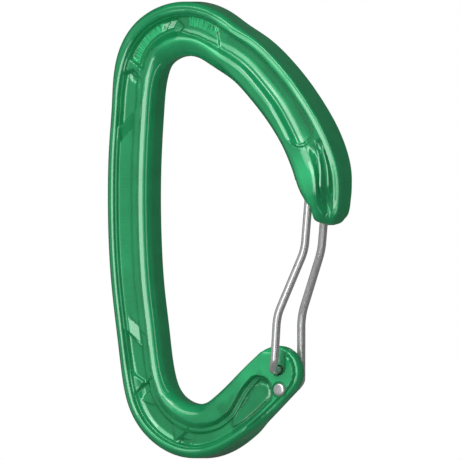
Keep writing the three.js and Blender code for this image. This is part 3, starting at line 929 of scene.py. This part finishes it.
    def surface(self) -> tuple[np.ndarray, np.ndarray, np.ndarray]:
        """Work out the skin, section by section and all the way round each.

        Returns:
            The points in the drawing frame, their places along and across, and their brushing with
            painted shade and their matting.
        """
        s = self.sizes(self.along())
        across = {}
        y = {}
        grains_and_shade = {}
        for face in Face:
            n = self.lateral(s, face is Face.FRONT)
            across[face] = n
            y[face] = face.value * self.face(s, n)
            grains_and_shade[face] = self.grain(s, n)
        share = np.array(EDGE_SHARES)
        inner_y = y[Face.FRONT][:, -1:] + (y[Face.BACK][:, -1:] - y[Face.FRONT][:, -1:]) * share
        outer_y = y[Face.BACK][:, :1] + (y[Face.FRONT][:, :1] - y[Face.BACK][:, :1]) * share
        inner_n = across[Face.FRONT][:, -1:] + 0 * inner_y
        outer_n = across[Face.FRONT][:, :1] + 0 * outer_y
        n = self.joined(across, inner_n, outer_n)
        height = self.joined(y, inner_y, outer_y)
        out = s["width"][:, None] / 2 - n
        x = s["x"][:, None] + s["nx"][:, None] * out
        z = s["z"][:, None] + s["nz"][:, None] * out
        plain = 0 * inner_n
        grain = [
            self.joined({face: grains_and_shade[face][i] for face in Face}, plain, plain) for i in range(2)
        ]
        place = np.stack([np.broadcast_to(s["length"][:, None], n.shape), n], axis=2)
        return np.stack([x, height, z], axis=2), place, np.stack(grain, axis=2)

    @staticmethod
    def joined(faces: dict[Face, np.ndarray], inner: np.ndarray, outer: np.ndarray) -> np.ndarray:
        """Join values of the two faces and the two edges into rings.

        Args:
            faces: values over each face, from the outer edge.
            inner: values over the inner edge.
            outer: values over the outer edge.

        Returns:
            One row of values round each section.
        """
        return np.concatenate([faces[Face.FRONT], inner, faces[Face.BACK][:, ::-1], outer], axis=1)

    def skin(self) -> bpy.types.Mesh:
        """Draw the forging before its holes are cut.

        Returns:
            The closed mesh, with its places, and its brushing with painted shade and its matting,
            as UV maps.
        """
        points, place, grain = self.surface()
        rows, columns = points.shape[:2]

        def wrapped(values: np.ndarray) -> np.ndarray:
            """Lay the grid's values out as rows, with the first column again at the end.

            Args:
                values: values of the grid.

            Returns:
                One row for each vertex.
            """
            closed = np.concatenate([values, values[:, :1]], axis=1)
            return closed.reshape(-1, values.shape[2])

        bm = bmesh.new()
        bmesh.ops.create_grid(bm, x_segments=columns, y_segments=rows - 1, size=1, calc_uvs=False)
        bm.verts.ensure_lookup_table()
        for vert, spot in zip(bm.verts, wrapped(points)):
            vert.co = in_frame(*spot)
        for name, values in (("UVMap", wrapped(place)), ("grain", wrapped(grain))):
            layer = bm.loops.layers.uv.new(name)
            for face in bm.faces:
                for loop in face.loops:
                    loop[layer].uv = values[loop.vert.index]
        bmesh.ops.remove_doubles(bm, verts=bm.verts, dist=1e-8)
        rim = [edge for edge in bm.edges if edge.is_boundary]
        bmesh.ops.holes_fill(bm, edges=rim, sides=0)
        bmesh.ops.recalc_face_normals(bm, faces=bm.faces)
        return finished(bm, "forged_body")

    def nose_room(self) -> bpy.types.Mesh:
        """Draw the nose's cavity, with the hook left standing in it.

        Returns:
            The cutter's closed mesh.
        """
        radius = WIRE_DIAMETER / 2
        back = CROSSBAR[0] + radius + RUNNING_GAP
        ceiling = CROSSBAR[1] + radius + RUNNING_GAP + self.room_above
        mouth = CROSSBAR[0] - self.room_run
        below = CROSSBAR[1] - self.room_below
        lean = (CROSSBAR[0] - UPPER_KNEE[0]) / (CROSSBAR[1] - UPPER_KNEE[1])
        room = [(mouth, below), (back - lean * self.room_below, below), (back, CROSSBAR[1]),
                (back, ceiling - 1.0), (back - 0.3, ceiling - 0.3), (back - 1.0, ceiling),
                (mouth, ceiling)]
        shelf = CROSSBAR[1] - radius - RUNNING_GAP
        tip = CROSSBAR[0] - radius
        hook = [(back + 1, shelf), (tip + 0.6, shelf), (tip + 0.15, shelf - 0.15),
                (tip, shelf - 0.6), (tip + 0.5, shelf - 2.1), (tip + 1.6, shelf - 3.3),
                (back + 1, shelf - 4.2)]
        return carved(plate("nose_room", room, -self.room_half, self.room_half),
                      plate("nose_hook", hook, -self.hook_half, self.hook_half))

    def boss_cuts(self) -> list[bpy.types.Mesh]:
        """Draw what is milled out of the boss.

        Returns:
            The cutters of the relief beside the leg, and of two holes with their seats.
        """
        holes = ((PIVOT, 1), (HEEL, -1))
        return [self.relief(), *(turned("hole", at, self.hole_profile(side)) for at, side in holes)]

    def relief(self) -> bpy.types.Mesh:
        """Draw the round-bottomed groove beside the near leg.

        Returns:
            The cutter's closed mesh.
        """
        radius = self.relief_radius
        depth = -BOSS_THICKNESS / 2 + self.relief_depth
        axis = Vector((PIVOT[0] + self.relief_side, depth - radius))
        foot = PIVOT[1] + radius - self.relief_foot
        top = foot + self.relief_length
        line = []
        for i in range(13):
            angle = math.pi / 2 * i / 12
            line.append((axis.x + radius * math.sin(angle), foot - radius * math.cos(angle)))
        line += [(axis.x + radius, top), (axis.x, top)]
        corners = [in_frame(x, axis.y, z) for x, z in line]
        return spun("relief", corners, in_frame(axis.x, axis.y, 0), (0, 0, 1), 48)

    def hole_profile(self, side: int) -> list[tuple[float, float]]:
        """Draw the outline of a hole and the seat of its head.

        Args:
            side: side of the head, 1 for the back and -1 for the front. The wire goes in on
                the other side.

        Returns:
            Radius and y of each corner.
        """
        face = BOSS_THICKNESS / 2
        radius = self.hole / 2
        seat = self.seat / 2
        floor = side * (face - self.seat_depth)
        entry = -side
        level = face - (self.relief_depth if entry < 0 else 0)
        return [(0, entry * (level + 1)), (radius + 0.12, entry * (level + 1)),
                (radius + 0.12, entry * (level + 0.05)), (radius, entry * (level - 0.12)),
                (radius, floor), (seat - 0.1, floor), (seat, side * (face - 0.08)),
                (seat + 0.06, side * face), (seat + 0.3, side * (face + 1)), (0, side * (face + 1))]

    def build(self, finish: bpy.types.Material) -> bpy.types.Object:
        """Build the finished forging.

        Args:
            finish: material of the whole forging.

        Returns:
            The object, which rides on the body and stands for its CAD node.
        """
        body = placed("forged_body", self.skin())
        cut(body, self.nose_room())
        for cutter in self.boss_cuts():
            cut(body, cutter)
        mesh = body.data
        mesh.shade_smooth()
        mesh.set_sharp_from_angle(angle=math.radians(38))
        mesh.materials.clear()
        mesh.materials.append(finish)
        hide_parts("body")
        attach(body, "body")
        log.info("forged body has %d faces", len(mesh.polygons))
        return body


def finished(bm: bmesh.types.BMesh, name: str) -> bpy.types.Mesh:
    """Turn a drawing into a mesh, and drop the drawing.

    Args:
        bm: the drawing.
        name: name of the mesh.

    Returns:
        The new mesh.
    """
    mesh = bpy.data.meshes.new(name)
    bm.to_mesh(mesh)
    bm.free()
    return mesh


def placed(name: str, data: bpy.types.ID) -> bpy.types.Object:
    """Put a mesh, a lamp or a camera into the scene.

    Args:
        name: name of the object.
        data: what the object holds.

    Returns:
        The new object, at the origin.
    """
    thing = bpy.data.objects.new(name, data)
    bpy.context.scene.collection.objects.link(thing)
    return thing


def spun(name: str, corners: list[Vector], centre: Vector, axis: tuple[int, int, int],
         steps: int) -> bpy.types.Mesh:
    """Spin a line of points once round an axis.

    Args:
        name: name of the mesh.
        corners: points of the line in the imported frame, from the axis round to the axis.
        centre: a point on the axis.
        axis: direction of the axis.
        steps: flats round the axis.

    Returns:
        The closed mesh.
    """
    bm = bmesh.new()
    line = [bm.verts.new(corner) for corner in corners]
    edges = [bm.edges.new(pair) for pair in zip(line, line[1:])]
    bmesh.ops.spin(bm, geom=line + edges, cent=centre, axis=axis, angle=2 * math.pi, steps=steps,
                   use_merge=True, use_duplicate=False)
    bmesh.ops.remove_doubles(bm, verts=bm.verts, dist=1e-7)
    bmesh.ops.recalc_face_normals(bm, faces=bm.faces)
    return finished(bm, name)


def plate(name: str, outline: list[tuple[float, float]], low: float, high: float) -> bpy.types.Mesh:
    """Draw a flat outline of x and z out in y.

    Args:
        name: name of the mesh.
        outline: corners in the drawing frame, in millimetres.
        low: where the plate starts, in y.
        high: where it stops.

    Returns:
        The closed mesh.
    """
    bm = bmesh.new()
    corners = [bm.verts.new(in_frame(x, low, z)) for x, z in outline]
    flat = bm.faces.new(corners)
    drawn = bmesh.ops.extrude_face_region(bm, geom=[flat])
    moved = [item for item in drawn["geom"] if isinstance(item, bmesh.types.BMVert)]
    bmesh.ops.translate(bm, vec=(0, (high - low) * MM, 0), verts=moved)
    bmesh.ops.recalc_face_normals(bm, faces=bm.faces)
    return finished(bm, name)


def turned(name: str, place: tuple[float, float], outline: list[tuple[float, float]],
           steps: int = 40) -> bpy.types.Mesh:
    """Turn an outline about an axis along y.

    Args:
        name: name of the mesh.
        place: x and z of the axis in the drawing frame.
        outline: radius and y of each corner, from the axis round to the axis.
        steps: flats round the axis.

    Returns:
        The closed mesh.
    """
    corners = [in_frame(place[0] + r, y, place[1]) for r, y in outline]
    return spun(name, corners, in_frame(place[0], 0, place[1]), (0, 1, 0), steps)


def cut(target: bpy.types.Object, cutter: bpy.types.Mesh) -> None:
    """Take a cutter's volume out of an object's mesh for good.

    Args:
        target: object that is cut.
        cutter: closed mesh of the volume that goes.
    """
    tool = placed(cutter.name, cutter)
    step = target.modifiers.new(cutter.name, "BOOLEAN")
    step.operation = "DIFFERENCE"
    step.solver = "EXACT"
    step.object = tool
    graph = bpy.context.evaluated_depsgraph_get()
    done = bpy.data.meshes.new_from_object(target.evaluated_get(graph))
    target.modifiers.clear()
    target.data = done
    bpy.data.objects.remove(tool)


def carved(block: bpy.types.Mesh, cutter: bpy.types.Mesh) -> bpy.types.Mesh:
    """Take a cutter's volume out of a block.

    Args:
        block: closed mesh that is cut.
        cutter: closed mesh of the volume that goes.

    Returns:
        The block's new mesh.
    """
    holder = placed(block.name, block)
    cut(holder, cutter)
    mesh = holder.data
    bpy.data.objects.remove(holder)
    return mesh


@dataclass
class WireGate:
    """The gate: one bent wire with two legs, a crossbar, and a peened head at either end."""

    nose_spacing: float = 7.4    # between the two legs at the crossbar
    standoff: float = 2.9        # from the boss's face to the middle of a leg
    lean: float = 1.15           # how far a leg's first bend leans towards the gate
    bend: float = 1.9            # radius of the bends at the feet and the crossbar
    knee: float = 12.0           # radius of the gentle bends in the legs
    head_diameter: float = 2.8
    head_height: float = 0.55
    seat_gap: float = 0.05       # between a head and its seat
    pitch: float = 0.8           # between the wire's rings
    sides: int = 24              # flats round the wire

    def corners(self) -> list[tuple[Vector, float]]:
        """Work out where the wire bends.

        Returns:
            Its corners with their radii, from the near head to the far head.
        """
        base = BOSS_THICKNESS / 2 + self.standoff
        nose = self.nose_spacing / 2

        def foot(place: tuple[float, float], side: int) -> list[tuple[Vector, float]]:
            """Bend a foot out of its hole.

            Args:
                place: x and z of the hole.
                side: side of the leg, -1 for the front and 1 for the back.

            Returns:
                Corners with their radii.
            """
            inside = self.head_base() + self.head_height / 5
            return [
                (Vector((place[0], -side * inside, place[1])), 0.0),
                (Vector((place[0], side * (base - self.bend / 2), place[1])), self.bend),
                (Vector((place[0] + self.lean, side * base, place[1] + self.bend)), self.bend),
            ]

        def leg(side: int) -> list[tuple[Vector, float]]:
            """Bend a leg above its foot.

            Args:
                side: side of the leg, -1 for the front and 1 for the back.

            Returns:
                Corners with their radii.
            """
            return [
                (Vector((LOWER_KNEE[0], side * base, LOWER_KNEE[1])), self.knee),
                (Vector((UPPER_KNEE[0], side * nose, UPPER_KNEE[1])), self.knee),
                (Vector((CROSSBAR[0], side * nose, CROSSBAR[1])), self.bend),
            ]

        return foot(PIVOT, -1) + leg(-1) + leg(1)[::-1] + foot(HEEL, 1)[::-1]

    def head_base(self) -> float:
        """Work out where a head stands.

        Returns:
            Its distance from the middle of the boss.
        """
        return BOSS_THICKNESS / 2 - Forging.seat_depth + self.seat_gap

    def path(self) -> list[Vector]:
        """Round the wire's corners.

        Returns:
            Points of its middle line in the drawing frame, at most 1.2 mm apart.
        """
        corners = self.corners()
        points = [corners[0][0]]
        for i in range(1, len(corners) - 1):
            place, radius = corners[i]
            back = (corners[i - 1][0] - place).normalized()
            ahead = (corners[i + 1][0] - place).normalized()
            trim = radius * math.tan((math.pi - back.angle(ahead)) / 2)
            enter = place + back * trim
            leave = place + ahead * trim
            for k in range(13):
                t = k / 12
                points.append(enter * (1 - t) ** 2 + place * 2 * t * (1 - t) + leave * t**2)
        points.append(corners[-1][0])
        fine = [points[0]]
        for point in points[1:]:
            gap = (point - fine[-1]).length
            count = max(1, round(gap / self.pitch))
            start = fine[-1].copy()
            fine.extend(start.lerp(point, k / count) for k in range(1, count + 1))
        return fine

    def sweep(self, bm: bmesh.types.BMesh) -> list[float]:
        """Draw a round section along the wire's line.

        Args:
            bm: mesh that gets the wire.

        Returns:
            The length along the wire of each ring of vertices.
        """
        points = [in_frame(*p) for p in self.path()]
        way = (points[1] - points[0]).normalized()
        turn = way.to_track_quat("Z", "X")
        start = Matrix.Translation(points[0]) @ turn.to_matrix().to_4x4()
        made = bmesh.ops.create_circle(bm, cap_ends=False, radius=WIRE_DIAMETER / 2 * MM,
                                       segments=self.sides, matrix=start)
        ring = list(dict.fromkeys(edge for vert in made["verts"] for edge in vert.link_edges))
        lengths = [0.0]
        for i in range(1, len(points)):
            ahead = points[min(i + 1, len(points) - 1)] - points[i]
            before = points[i] - points[i - 1]
            if ahead.length == 0:
                ahead = before
            new_way = (ahead.normalized() + before.normalized()).normalized()
            twist = way.rotation_difference(new_way).to_matrix().to_4x4()
            drawn = bmesh.ops.extrude_edge_only(bm, edges=ring)["geom"]
            verts = [item for item in drawn if isinstance(item, bmesh.types.BMVert)]
            ring = [item for item in drawn if isinstance(item, bmesh.types.BMEdge)]
            move = Matrix.Translation(points[i]) @ twist @ Matrix.Translation(-points[i - 1])
            bmesh.ops.transform(bm, matrix=move, verts=verts)
            lengths.append(lengths[-1] + before.length / MM)
            way = new_way
        return lengths

    def head(self, bm: bmesh.types.BMesh, place: tuple[float, float], side: int) -> None:
        """Add a peened head: a low dome with a flattened crown and a rolled edge.

        Args:
            bm: mesh that gets the head.
            place: x and z of the hole.
            side: side of the head, 1 for the back and -1 for the front.
        """
        radius = self.head_diameter / 2
        base = self.head_base()
        outline = [(0.0, base + self.head_height)]
        for i in range(1, 9):
            angle = math.pi / 2 * (1 - i / 8)
            high = math.sin(angle) ** 0.45
            outline.append((radius * math.cos(angle) ** 0.75, base + self.head_height * high))
        outline.append((radius * 0.93, base - 0.1))
        outline.append((WIRE_DIAMETER / 2 - 0.1, base - 0.12))
        bm.from_mesh(turned("head", place, [(r, side * y) for r, y in outline], 32))

    def build(self, finish: bpy.types.Material) -> bpy.types.Object:
        """Build the finished gate.

        Args:
            finish: material of the wire.

        Returns:
            The object, which stands for both gate nodes.
        """
        bm = bmesh.new()
        layer = bm.loops.layers.uv.new("UVMap")
        lengths = self.sweep(bm)
        bm.verts.index_update()
        bm.verts.ensure_lookup_table()
        for face in bm.faces:
            low = min(loop.vert.index % self.sides for loop in face.loops)
            for loop in face.loops:
                around = loop.vert.index % self.sides
                if low == 0 and around == self.sides - 1:
                    around = -1
                loop[layer].uv = (around / self.sides, lengths[loop.vert.index // self.sides])
        self.head(bm, PIVOT, 1)
        self.head(bm, HEEL, -1)
        rim = [edge for edge in bm.edges if edge.is_boundary]
        bmesh.ops.holes_fill(bm, edges=rim, sides=0)
        bmesh.ops.recalc_face_normals(bm, faces=bm.faces)
        mesh = finished(bm, "bent_wire")
        mesh.shade_smooth()
        mesh.set_sharp_from_angle(angle=math.radians(50))
        mesh.materials.append(finish)
        wire = placed("bent_wire", mesh)
        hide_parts("gate_wire", "gate_heel")
        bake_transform(wire)
        log.info("bent wire has %d faces", len(mesh.polygons))
        return wire


class NodeSheet:
    """Short ways to add nodes to a material or a world."""

    def __init__(self, holder: bpy.types.Material | bpy.types.World) -> None:
        """Switch the holder's nodes on.

        Args:
            holder: material or world that gets the nodes.
        """
        self.holder = holder
        holder.use_nodes = True
        self.tree = holder.node_tree
        self.shader = self.tree.nodes.get("Principled BSDF")

    def add(self, kind: str, **settings: object) -> bpy.types.Node:
        """Add a node.

        Args:
            kind: Blender's name for the kind of node.
            settings: values of the node's own settings, by their names.

        Returns:
            The new node.
        """
        node = self.tree.nodes.new(kind)
        for name, value in settings.items():
            setattr(node, name, value)
        return node

    def link(self, start: bpy.types.NodeSocket, end: bpy.types.NodeSocket) -> None:
        """Join two sockets.

        Args:
            start: where the value comes from.
            end: where it goes.
        """
        self.tree.links.new(start, end)

    def noise(self, vector: bpy.types.NodeSocket, scale: float, detail: float = 2.0,
              rough: float = 0.5) -> bpy.types.NodeSocket:
        """Add a noise pattern.

        Args:
            vector: place at which the pattern is read.
            scale: how fine it is.
            detail: how many finer layers it has.
            rough: how strong the finer layers are.

        Returns:
            Socket of the pattern.
        """
        node = self.add("ShaderNodeTexNoise")
        node.inputs["Scale"].default_value = scale
        node.inputs["Detail"].default_value = detail
        node.inputs["Roughness"].default_value = rough
        self.link(vector, node.inputs["Vector"])
        return node.outputs["Fac"]

    def stretched(self, vector: bpy.types.NodeSocket,
                  scale: tuple[float, float, float]) -> bpy.types.NodeSocket:
        """Scale a vector along each axis.

        Args:
            vector: socket of the vector.
            scale: factor for each axis.

        Returns:
            Socket of the scaled vector.
        """
        node = self.add("ShaderNodeMapping")
        node.inputs["Scale"].default_value = scale
        self.link(vector, node.inputs["Vector"])
        return node.outputs["Vector"]

    def ranged(self, value: bpy.types.NodeSocket, low: float, high: float, from_low: float = 0.0,
               from_high: float = 1.0) -> bpy.types.NodeSocket:
        """Carry a value from one range to another.

        Args:
            value: socket of the value.
            low: result at the low end.
            high: result at the high end.
            from_low: value at the low end.
            from_high: value at the high end.

        Returns:
            Socket of the result.
        """
        node = self.add("ShaderNodeMapRange")
        node.inputs["From Min"].default_value = from_low
        node.inputs["From Max"].default_value = from_high
        node.inputs["To Min"].default_value = low
        node.inputs["To Max"].default_value = high
        self.link(value, node.inputs["Value"])
        return node.outputs["Result"]

    def math(self, operation: str, a: bpy.types.NodeSocket,
             b: bpy.types.NodeSocket) -> bpy.types.NodeSocket:
        """Join two values by a sum.

        Args:
            operation: Blender's name for the kind of sum.
            a: socket of the first value.
            b: socket of the second value.

        Returns:
            Socket of the result.
        """
        node = self.add("ShaderNodeMath", operation=operation)
        self.link(a, node.inputs[0])
        self.link(b, node.inputs[1])
        return node.outputs[0]

    def bump(self, height: bpy.types.NodeSocket, distance: float, strength: float,
             under: bpy.types.NodeSocket | None = None) -> bpy.types.NodeSocket:
        """Add a bump.

        Args:
            height: socket of the height.
            distance: how high a height of 1 stands.
            strength: share of the bump that shows.
            under: socket of the bump below this one, if there is one.

        Returns:
            Socket of the bumped normal.
        """
        node = self.add("ShaderNodeBump")
        node.inputs["Distance"].default_value = distance
        node.inputs["Strength"].default_value = strength
        self.link(height, node.inputs["Height"])
        if under is not None:
            self.link(under, node.inputs["Normal"])
        return node.outputs["Normal"]


@dataclass(frozen=True)
class AnodisedGreen:
    """Dyed oxide over aluminium: a metal tinted green under a clear glassy layer."""

    deep: tuple[float, float, float, float] = (0.006, 0.23, 0.078, 1.0)
    light: tuple[float, float, float, float] = (0.035, 0.65, 0.245, 1.0)
    polished: float = 0.48       # roughness of the polished and of the matt places
    matt: float = 0.56
    coat_roughness: float = 0.05
    coat_ior: float = 1.7
    polished_metal: float = 0.52
    matt_metal: float = 0.75

    def material(self) -> bpy.types.Material:
        """Mix the finish.

        Returns:
            The material.
        """
        sheet = NodeSheet(bpy.data.materials.new("anodised_green"))
        shader = sheet.shader
        shader.inputs["Specular IOR Level"].default_value = 0.0
        shader.inputs["Coat Weight"].default_value = 1.0
        shader.inputs["Coat Roughness"].default_value = self.coat_roughness
        shader.inputs["Coat IOR"].default_value = self.coat_ior
        place = sheet.add("ShaderNodeUVMap", uv_map="UVMap").outputs["UV"]
        grains_and_shade = sheet.add("ShaderNodeUVMap", uv_map="grain").outputs["UV"]
        parts = sheet.add("ShaderNodeSeparateXYZ")
        sheet.link(grains_and_shade, parts.inputs[0])
        brushing_and_shade, matt = parts.outputs["X"], parts.outputs["Y"]
        object_place = sheet.add("ShaderNodeTexCoord").outputs["Object"]

        dull = sheet.math("MAXIMUM", sheet.ranged(brushing_and_shade, 0.0, 0.8), matt)
        cloud = sheet.noise(object_place, 180, 3.0)
        tint = sheet.add("ShaderNodeMix", data_type="RGBA")
        tint.inputs["A"].default_value = self.deep
        tint.inputs["B"].default_value = self.light
        lines = sheet.noise(sheet.stretched(place, (2.6, 0.2, 1)), 1.0, 2.0, 0.6)
        scored_part = sheet.ranged(brushing_and_shade, 0.0, 1.0)
        scratched = sheet.math("MULTIPLY", sheet.ranged(lines, -1.1, 1.1, 0.3, 0.7), scored_part)
        # Below 0 this pulls the colour towards deep: painted shade in the channels' floors and
        # walls. Above 0 it lightens the places with brushing.
        brushing_and_shade_tone = sheet.ranged(brushing_and_shade, -0.3, 0.3, -1.0, 1.0)
        cast = sheet.math("ADD", brushing_and_shade_tone, sheet.ranged(dull, 0.0, 0.5))
        share = sheet.math("ADD", sheet.ranged(cloud, 0.32, 0.5, 0.3, 0.7), cast)
        sheet.link(sheet.math("ADD", share, scratched), tint.inputs["Factor"])
        sheet.link(tint.outputs["Result"], shader.inputs["Base Color"])

        grit = sheet.noise(object_place, 9000, 2.0, 0.6)
        ripple = sheet.noise(object_place, 900, 2.0)
        scored = sheet.math("MULTIPLY", lines, scored_part)
        rough = sheet.ranged(dull, self.polished, self.matt)
        metal = sheet.ranged(dull, self.polished_metal, self.matt_metal)
        sheet.link(metal, shader.inputs["Metallic"])
        speckle = sheet.ranged(grit, -0.04, 0.05)
        sheet.link(sheet.math("ADD", rough, speckle), shader.inputs["Roughness"])
        gritty = sheet.math("MULTIPLY", grit, sheet.ranged(dull, 0.04, 1.0))
        normal = sheet.bump(ripple, 0.00002, 0.25)
        normal = sheet.bump(gritty, 0.00002, 0.5, normal)
        normal = sheet.bump(scored, 0.0003, 1.0, normal)
        sheet.link(normal, shader.inputs["Normal"])
        fine = sheet.bump(scored, 0.0001, 0.5, sheet.bump(ripple, 0.00002, 0.2))
        sheet.link(fine, shader.inputs["Coat Normal"])
        return sheet.holder


@dataclass(frozen=True)
class DrawnSteel:
    """Stainless wire with faint lines from the drawing die."""

    bright: tuple[float, float, float, float] = (0.8, 0.8, 0.8, 1.0)
    dim: tuple[float, float, float, float] = (0.7, 0.7, 0.705, 1.0)
    roughness: float = 0.29
    metallic: float = 0.78

    def material(self) -> bpy.types.Material:
        """Mix the finish.

        Returns:
            The material.
        """
        sheet = NodeSheet(bpy.data.materials.new("drawn_steel"))
        shader = sheet.shader
        shader.inputs["Metallic"].default_value = self.metallic
        place = sheet.add("ShaderNodeUVMap", uv_map="UVMap").outputs["UV"]
        object_place = sheet.add("ShaderNodeTexCoord").outputs["Object"]
        lines = sheet.noise(sheet.stretched(place, (60, 0.25, 1)), 1.0, 3.0, 0.65)
        spots = sheet.noise(object_place, 700, 2.0)
        tone = sheet.add("ShaderNodeMix", data_type="RGBA")
        tone.inputs["A"].default_value = self.dim
        tone.inputs["B"].default_value = self.bright
        streaks = sheet.math("MULTIPLY", lines, spots)
        sheet.link(sheet.ranged(streaks, 0, 1, 0.1, 0.35), tone.inputs["Factor"])
        sheet.link(tone.outputs["Result"], shader.inputs["Base Color"])
        rough = sheet.ranged(spots, self.roughness - 0.03, self.roughness + 0.05, 0.3, 0.7)
        sheet.link(rough, shader.inputs["Roughness"])
        sheet.link(sheet.bump(lines, 0.00001, 0.012), shader.inputs["Normal"])
        return sheet.holder


@dataclass
class Studio:
    """White room, soft lamps, dark flags that shape the reflections, and the camera."""

    distance: float = 0.6        # metres from the object to the camera and the lamps
    middle: Vector = field(default_factory=lambda: in_frame(0, 0, PHOTO_CENTRE_Z))

    def towards(self, azimuth: float, elevation: float, far: float) -> Vector:
        """Find a point in a direction from the middle of the object.

        Args:
            azimuth: direction round the object, in degrees from its front.
            elevation: height above the horizon, in degrees.
            far: distance from the middle, in metres.

        Returns:
            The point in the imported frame.
        """
        a = math.radians(azimuth)
        e = math.radians(elevation)
        way = Vector((math.sin(a) * math.cos(e), -math.cos(a) * math.cos(e), math.sin(e)))
        return self.middle + way * far

    def aimed(self, data: bpy.types.ID, azimuth: float, elevation: float) -> bpy.types.Object:
        """Place a camera or a lamp so that it faces the object.

        Args:
            data: the camera or the lamp.
            azimuth: direction round the object, in degrees from its front.
            elevation: height above the horizon, in degrees.

        Returns:
            The object that holds it, under the same name.
        """
        thing = placed(data.name, data)
        thing.location = self.towards(azimuth, elevation, self.distance)
        aim = self.middle - thing.location
        thing.rotation_euler = aim.to_track_quat("-Z", "Y").to_euler()
        return thing

    def camera(self) -> None:
        """Place a parallel camera at the photograph's angle."""
        lens = bpy.data.cameras.new("photo_camera")
        lens.type = "ORTHO"
        lens.ortho_scale = PHOTO_SIDE * PHOTO_SCALE * MM
        bpy.context.scene.camera = self.aimed(lens, VIEW_AZIMUTH, 0)

    def lamp(self, name: str, azimuth: float, elevation: float, wide: float, high: float,
             radiance: float) -> None:
        """Add a soft box that faces the object.

        Args:
            name: name of the lamp.
            azimuth: direction round the object, in degrees.
            elevation: height above the horizon, in degrees.
            wide: width of the box, in metres.
            high: height of the box, in metres.
            radiance: how bright its face looks, where 1 is white.
        """
        light = bpy.data.lights.new(name, "AREA")
        light.shape = "RECTANGLE"
        light.size = wide
        light.size_y = high
        light.energy = radiance * math.pi * wide * high
        self.aimed(light, azimuth, elevation).visible_camera = False

    def flag(self, name: str, azimuth: float, elevation: float, wide: float, high: float,
             shade: float, far: float = 0.66) -> None:
        """Add a card that only reflections see.

        Args:
            name: name of the card.
            azimuth: direction round the object, in degrees.
            elevation: height above the horizon, in degrees.
            wide: width of the card, in metres.
            high: height of the card, in metres.
            shade: how bright it looks, where 1 is white.
            far: distance from the object, in metres.
        """
        bm = bmesh.new()
        bmesh.ops.create_grid(bm, x_segments=1, y_segments=1, size=0.5)
        bmesh.ops.scale(bm, vec=(wide, high, 1), verts=bm.verts)
        place = self.towards(azimuth, elevation, far)
        turn = (self.middle - place).to_track_quat("Z", "Y").to_matrix().to_4x4()
        bmesh.ops.transform(bm, matrix=Matrix.Translation(place) @ turn, verts=bm.verts)
        card = placed(name, finished(bm, name))
        sheet = NodeSheet(bpy.data.materials.new(name))
        sheet.tree.nodes.clear()
        glow = sheet.add("ShaderNodeEmission")
        glow.inputs["Color"].default_value = (shade, shade, shade, 1)
        out = sheet.add("ShaderNodeOutputMaterial")
        sheet.link(glow.outputs[0], out.inputs["Surface"])
        card.data.materials.append(sheet.holder)
        card.visible_camera = False
        card.visible_shadow = False
        card.visible_diffuse = False

    def floor(self) -> None:
        """Lay a plain pale floor just under the object."""
        bm = bmesh.new()
        bmesh.ops.create_grid(bm, x_segments=1, y_segments=1, size=3.0)
        low = in_frame(0, 0, 0).z - 0.0004
        bmesh.ops.translate(bm, vec=(0, 0, low), verts=bm.verts)
        board = placed("floor", finished(bm, "floor"))
        sheet = NodeSheet(bpy.data.materials.new("floor_paint"))
        sheet.shader.inputs["Base Color"].default_value = (0.76, 0.76, 0.76, 1)
        sheet.shader.inputs["Roughness"].default_value = 0.8
        board.data.materials.append(sheet.holder)
        board.visible_glossy = False

    def room(self) -> None:
        """Set the world: white where it is seen, softer as a light."""
        world = bpy.data.worlds.new("studio")
        bpy.context.scene.world = world
        sheet = NodeSheet(world)
        sheet.tree.nodes.clear()
        ray = sheet.add("ShaderNodeLightPath").outputs
        seen = sheet.math("MAXIMUM", ray["Is Camera Ray"], ray["Is Glossy Ray"])
        seen = sheet.math("MAXIMUM", seen, ray["Is Transmission Ray"])
        white = sheet.add("ShaderNodeBackground")
        white.inputs["Color"].default_value = (1, 1, 1, 1)
        sheet.link(sheet.ranged(seen, 0.5, 1.0), white.inputs["Strength"])
        out = sheet.add("ShaderNodeOutputWorld")
        sheet.link(white.outputs[0], out.inputs["Surface"])

    def build(self) -> None:
        """Set up the room, the lamps, the flags and the camera."""
        self.camera()
        self.room()
        self.floor()
        self.lamp("front_strip", 3, 12, 0.12, 0.84, 3.4)
        self.lamp("high_box", -17, 35.5, 0.46, 0.21, 1.8)
        self.lamp("top_box", -20, 80, 0.4, 0.4, 1.2)
        self.flag("left_front_card", -44, 0, 0.72, 1.0, 0.32)
        self.flag("right_card", 62, 8, 0.36, 0.5, 0.04, 0.27)
        self.flag("far_right_card", 112, 8, 0.34, 0.5, 0.11, 0.27)
        self.flag("side_line", 50, 8, 0.03, 0.5, 2.2, 0.25)
        self.flag("high_right_card", 37, 48, 0.18, 0.17, 0.04, 0.3)
        self.flag("back_card", 178, 8, 0.56, 0.5, 0.08, 0.27)
        self.flag("left_card", -118, 12, 0.46, 0.5, 0.04, 0.27)
        self.flag("back_top_card", 180, 60, 0.9, 0.5, 0.15)
        self.flag("ceiling_left", -88, 62, 0.6, 0.5, 0.07, 0.4)
        self.flag("ceiling_right", 88, 62, 0.6, 0.5, 0.07, 0.4)
        self.flag("low_card", 0, -89.9, 1.7, 1.7, 0.13, 0.26)
        bpy.context.scene.view_settings.view_transform = "Standard"


def main() -> None:
    """Build the carabiner and its studio."""
    logging.basicConfig(level=logging.INFO)
    Studio().build()
    log.info("studio is set")
    Forging().build(AnodisedGreen().material())
    WireGate().build(DrawnSteel().material())


if __name__ == "__main__":
    main()
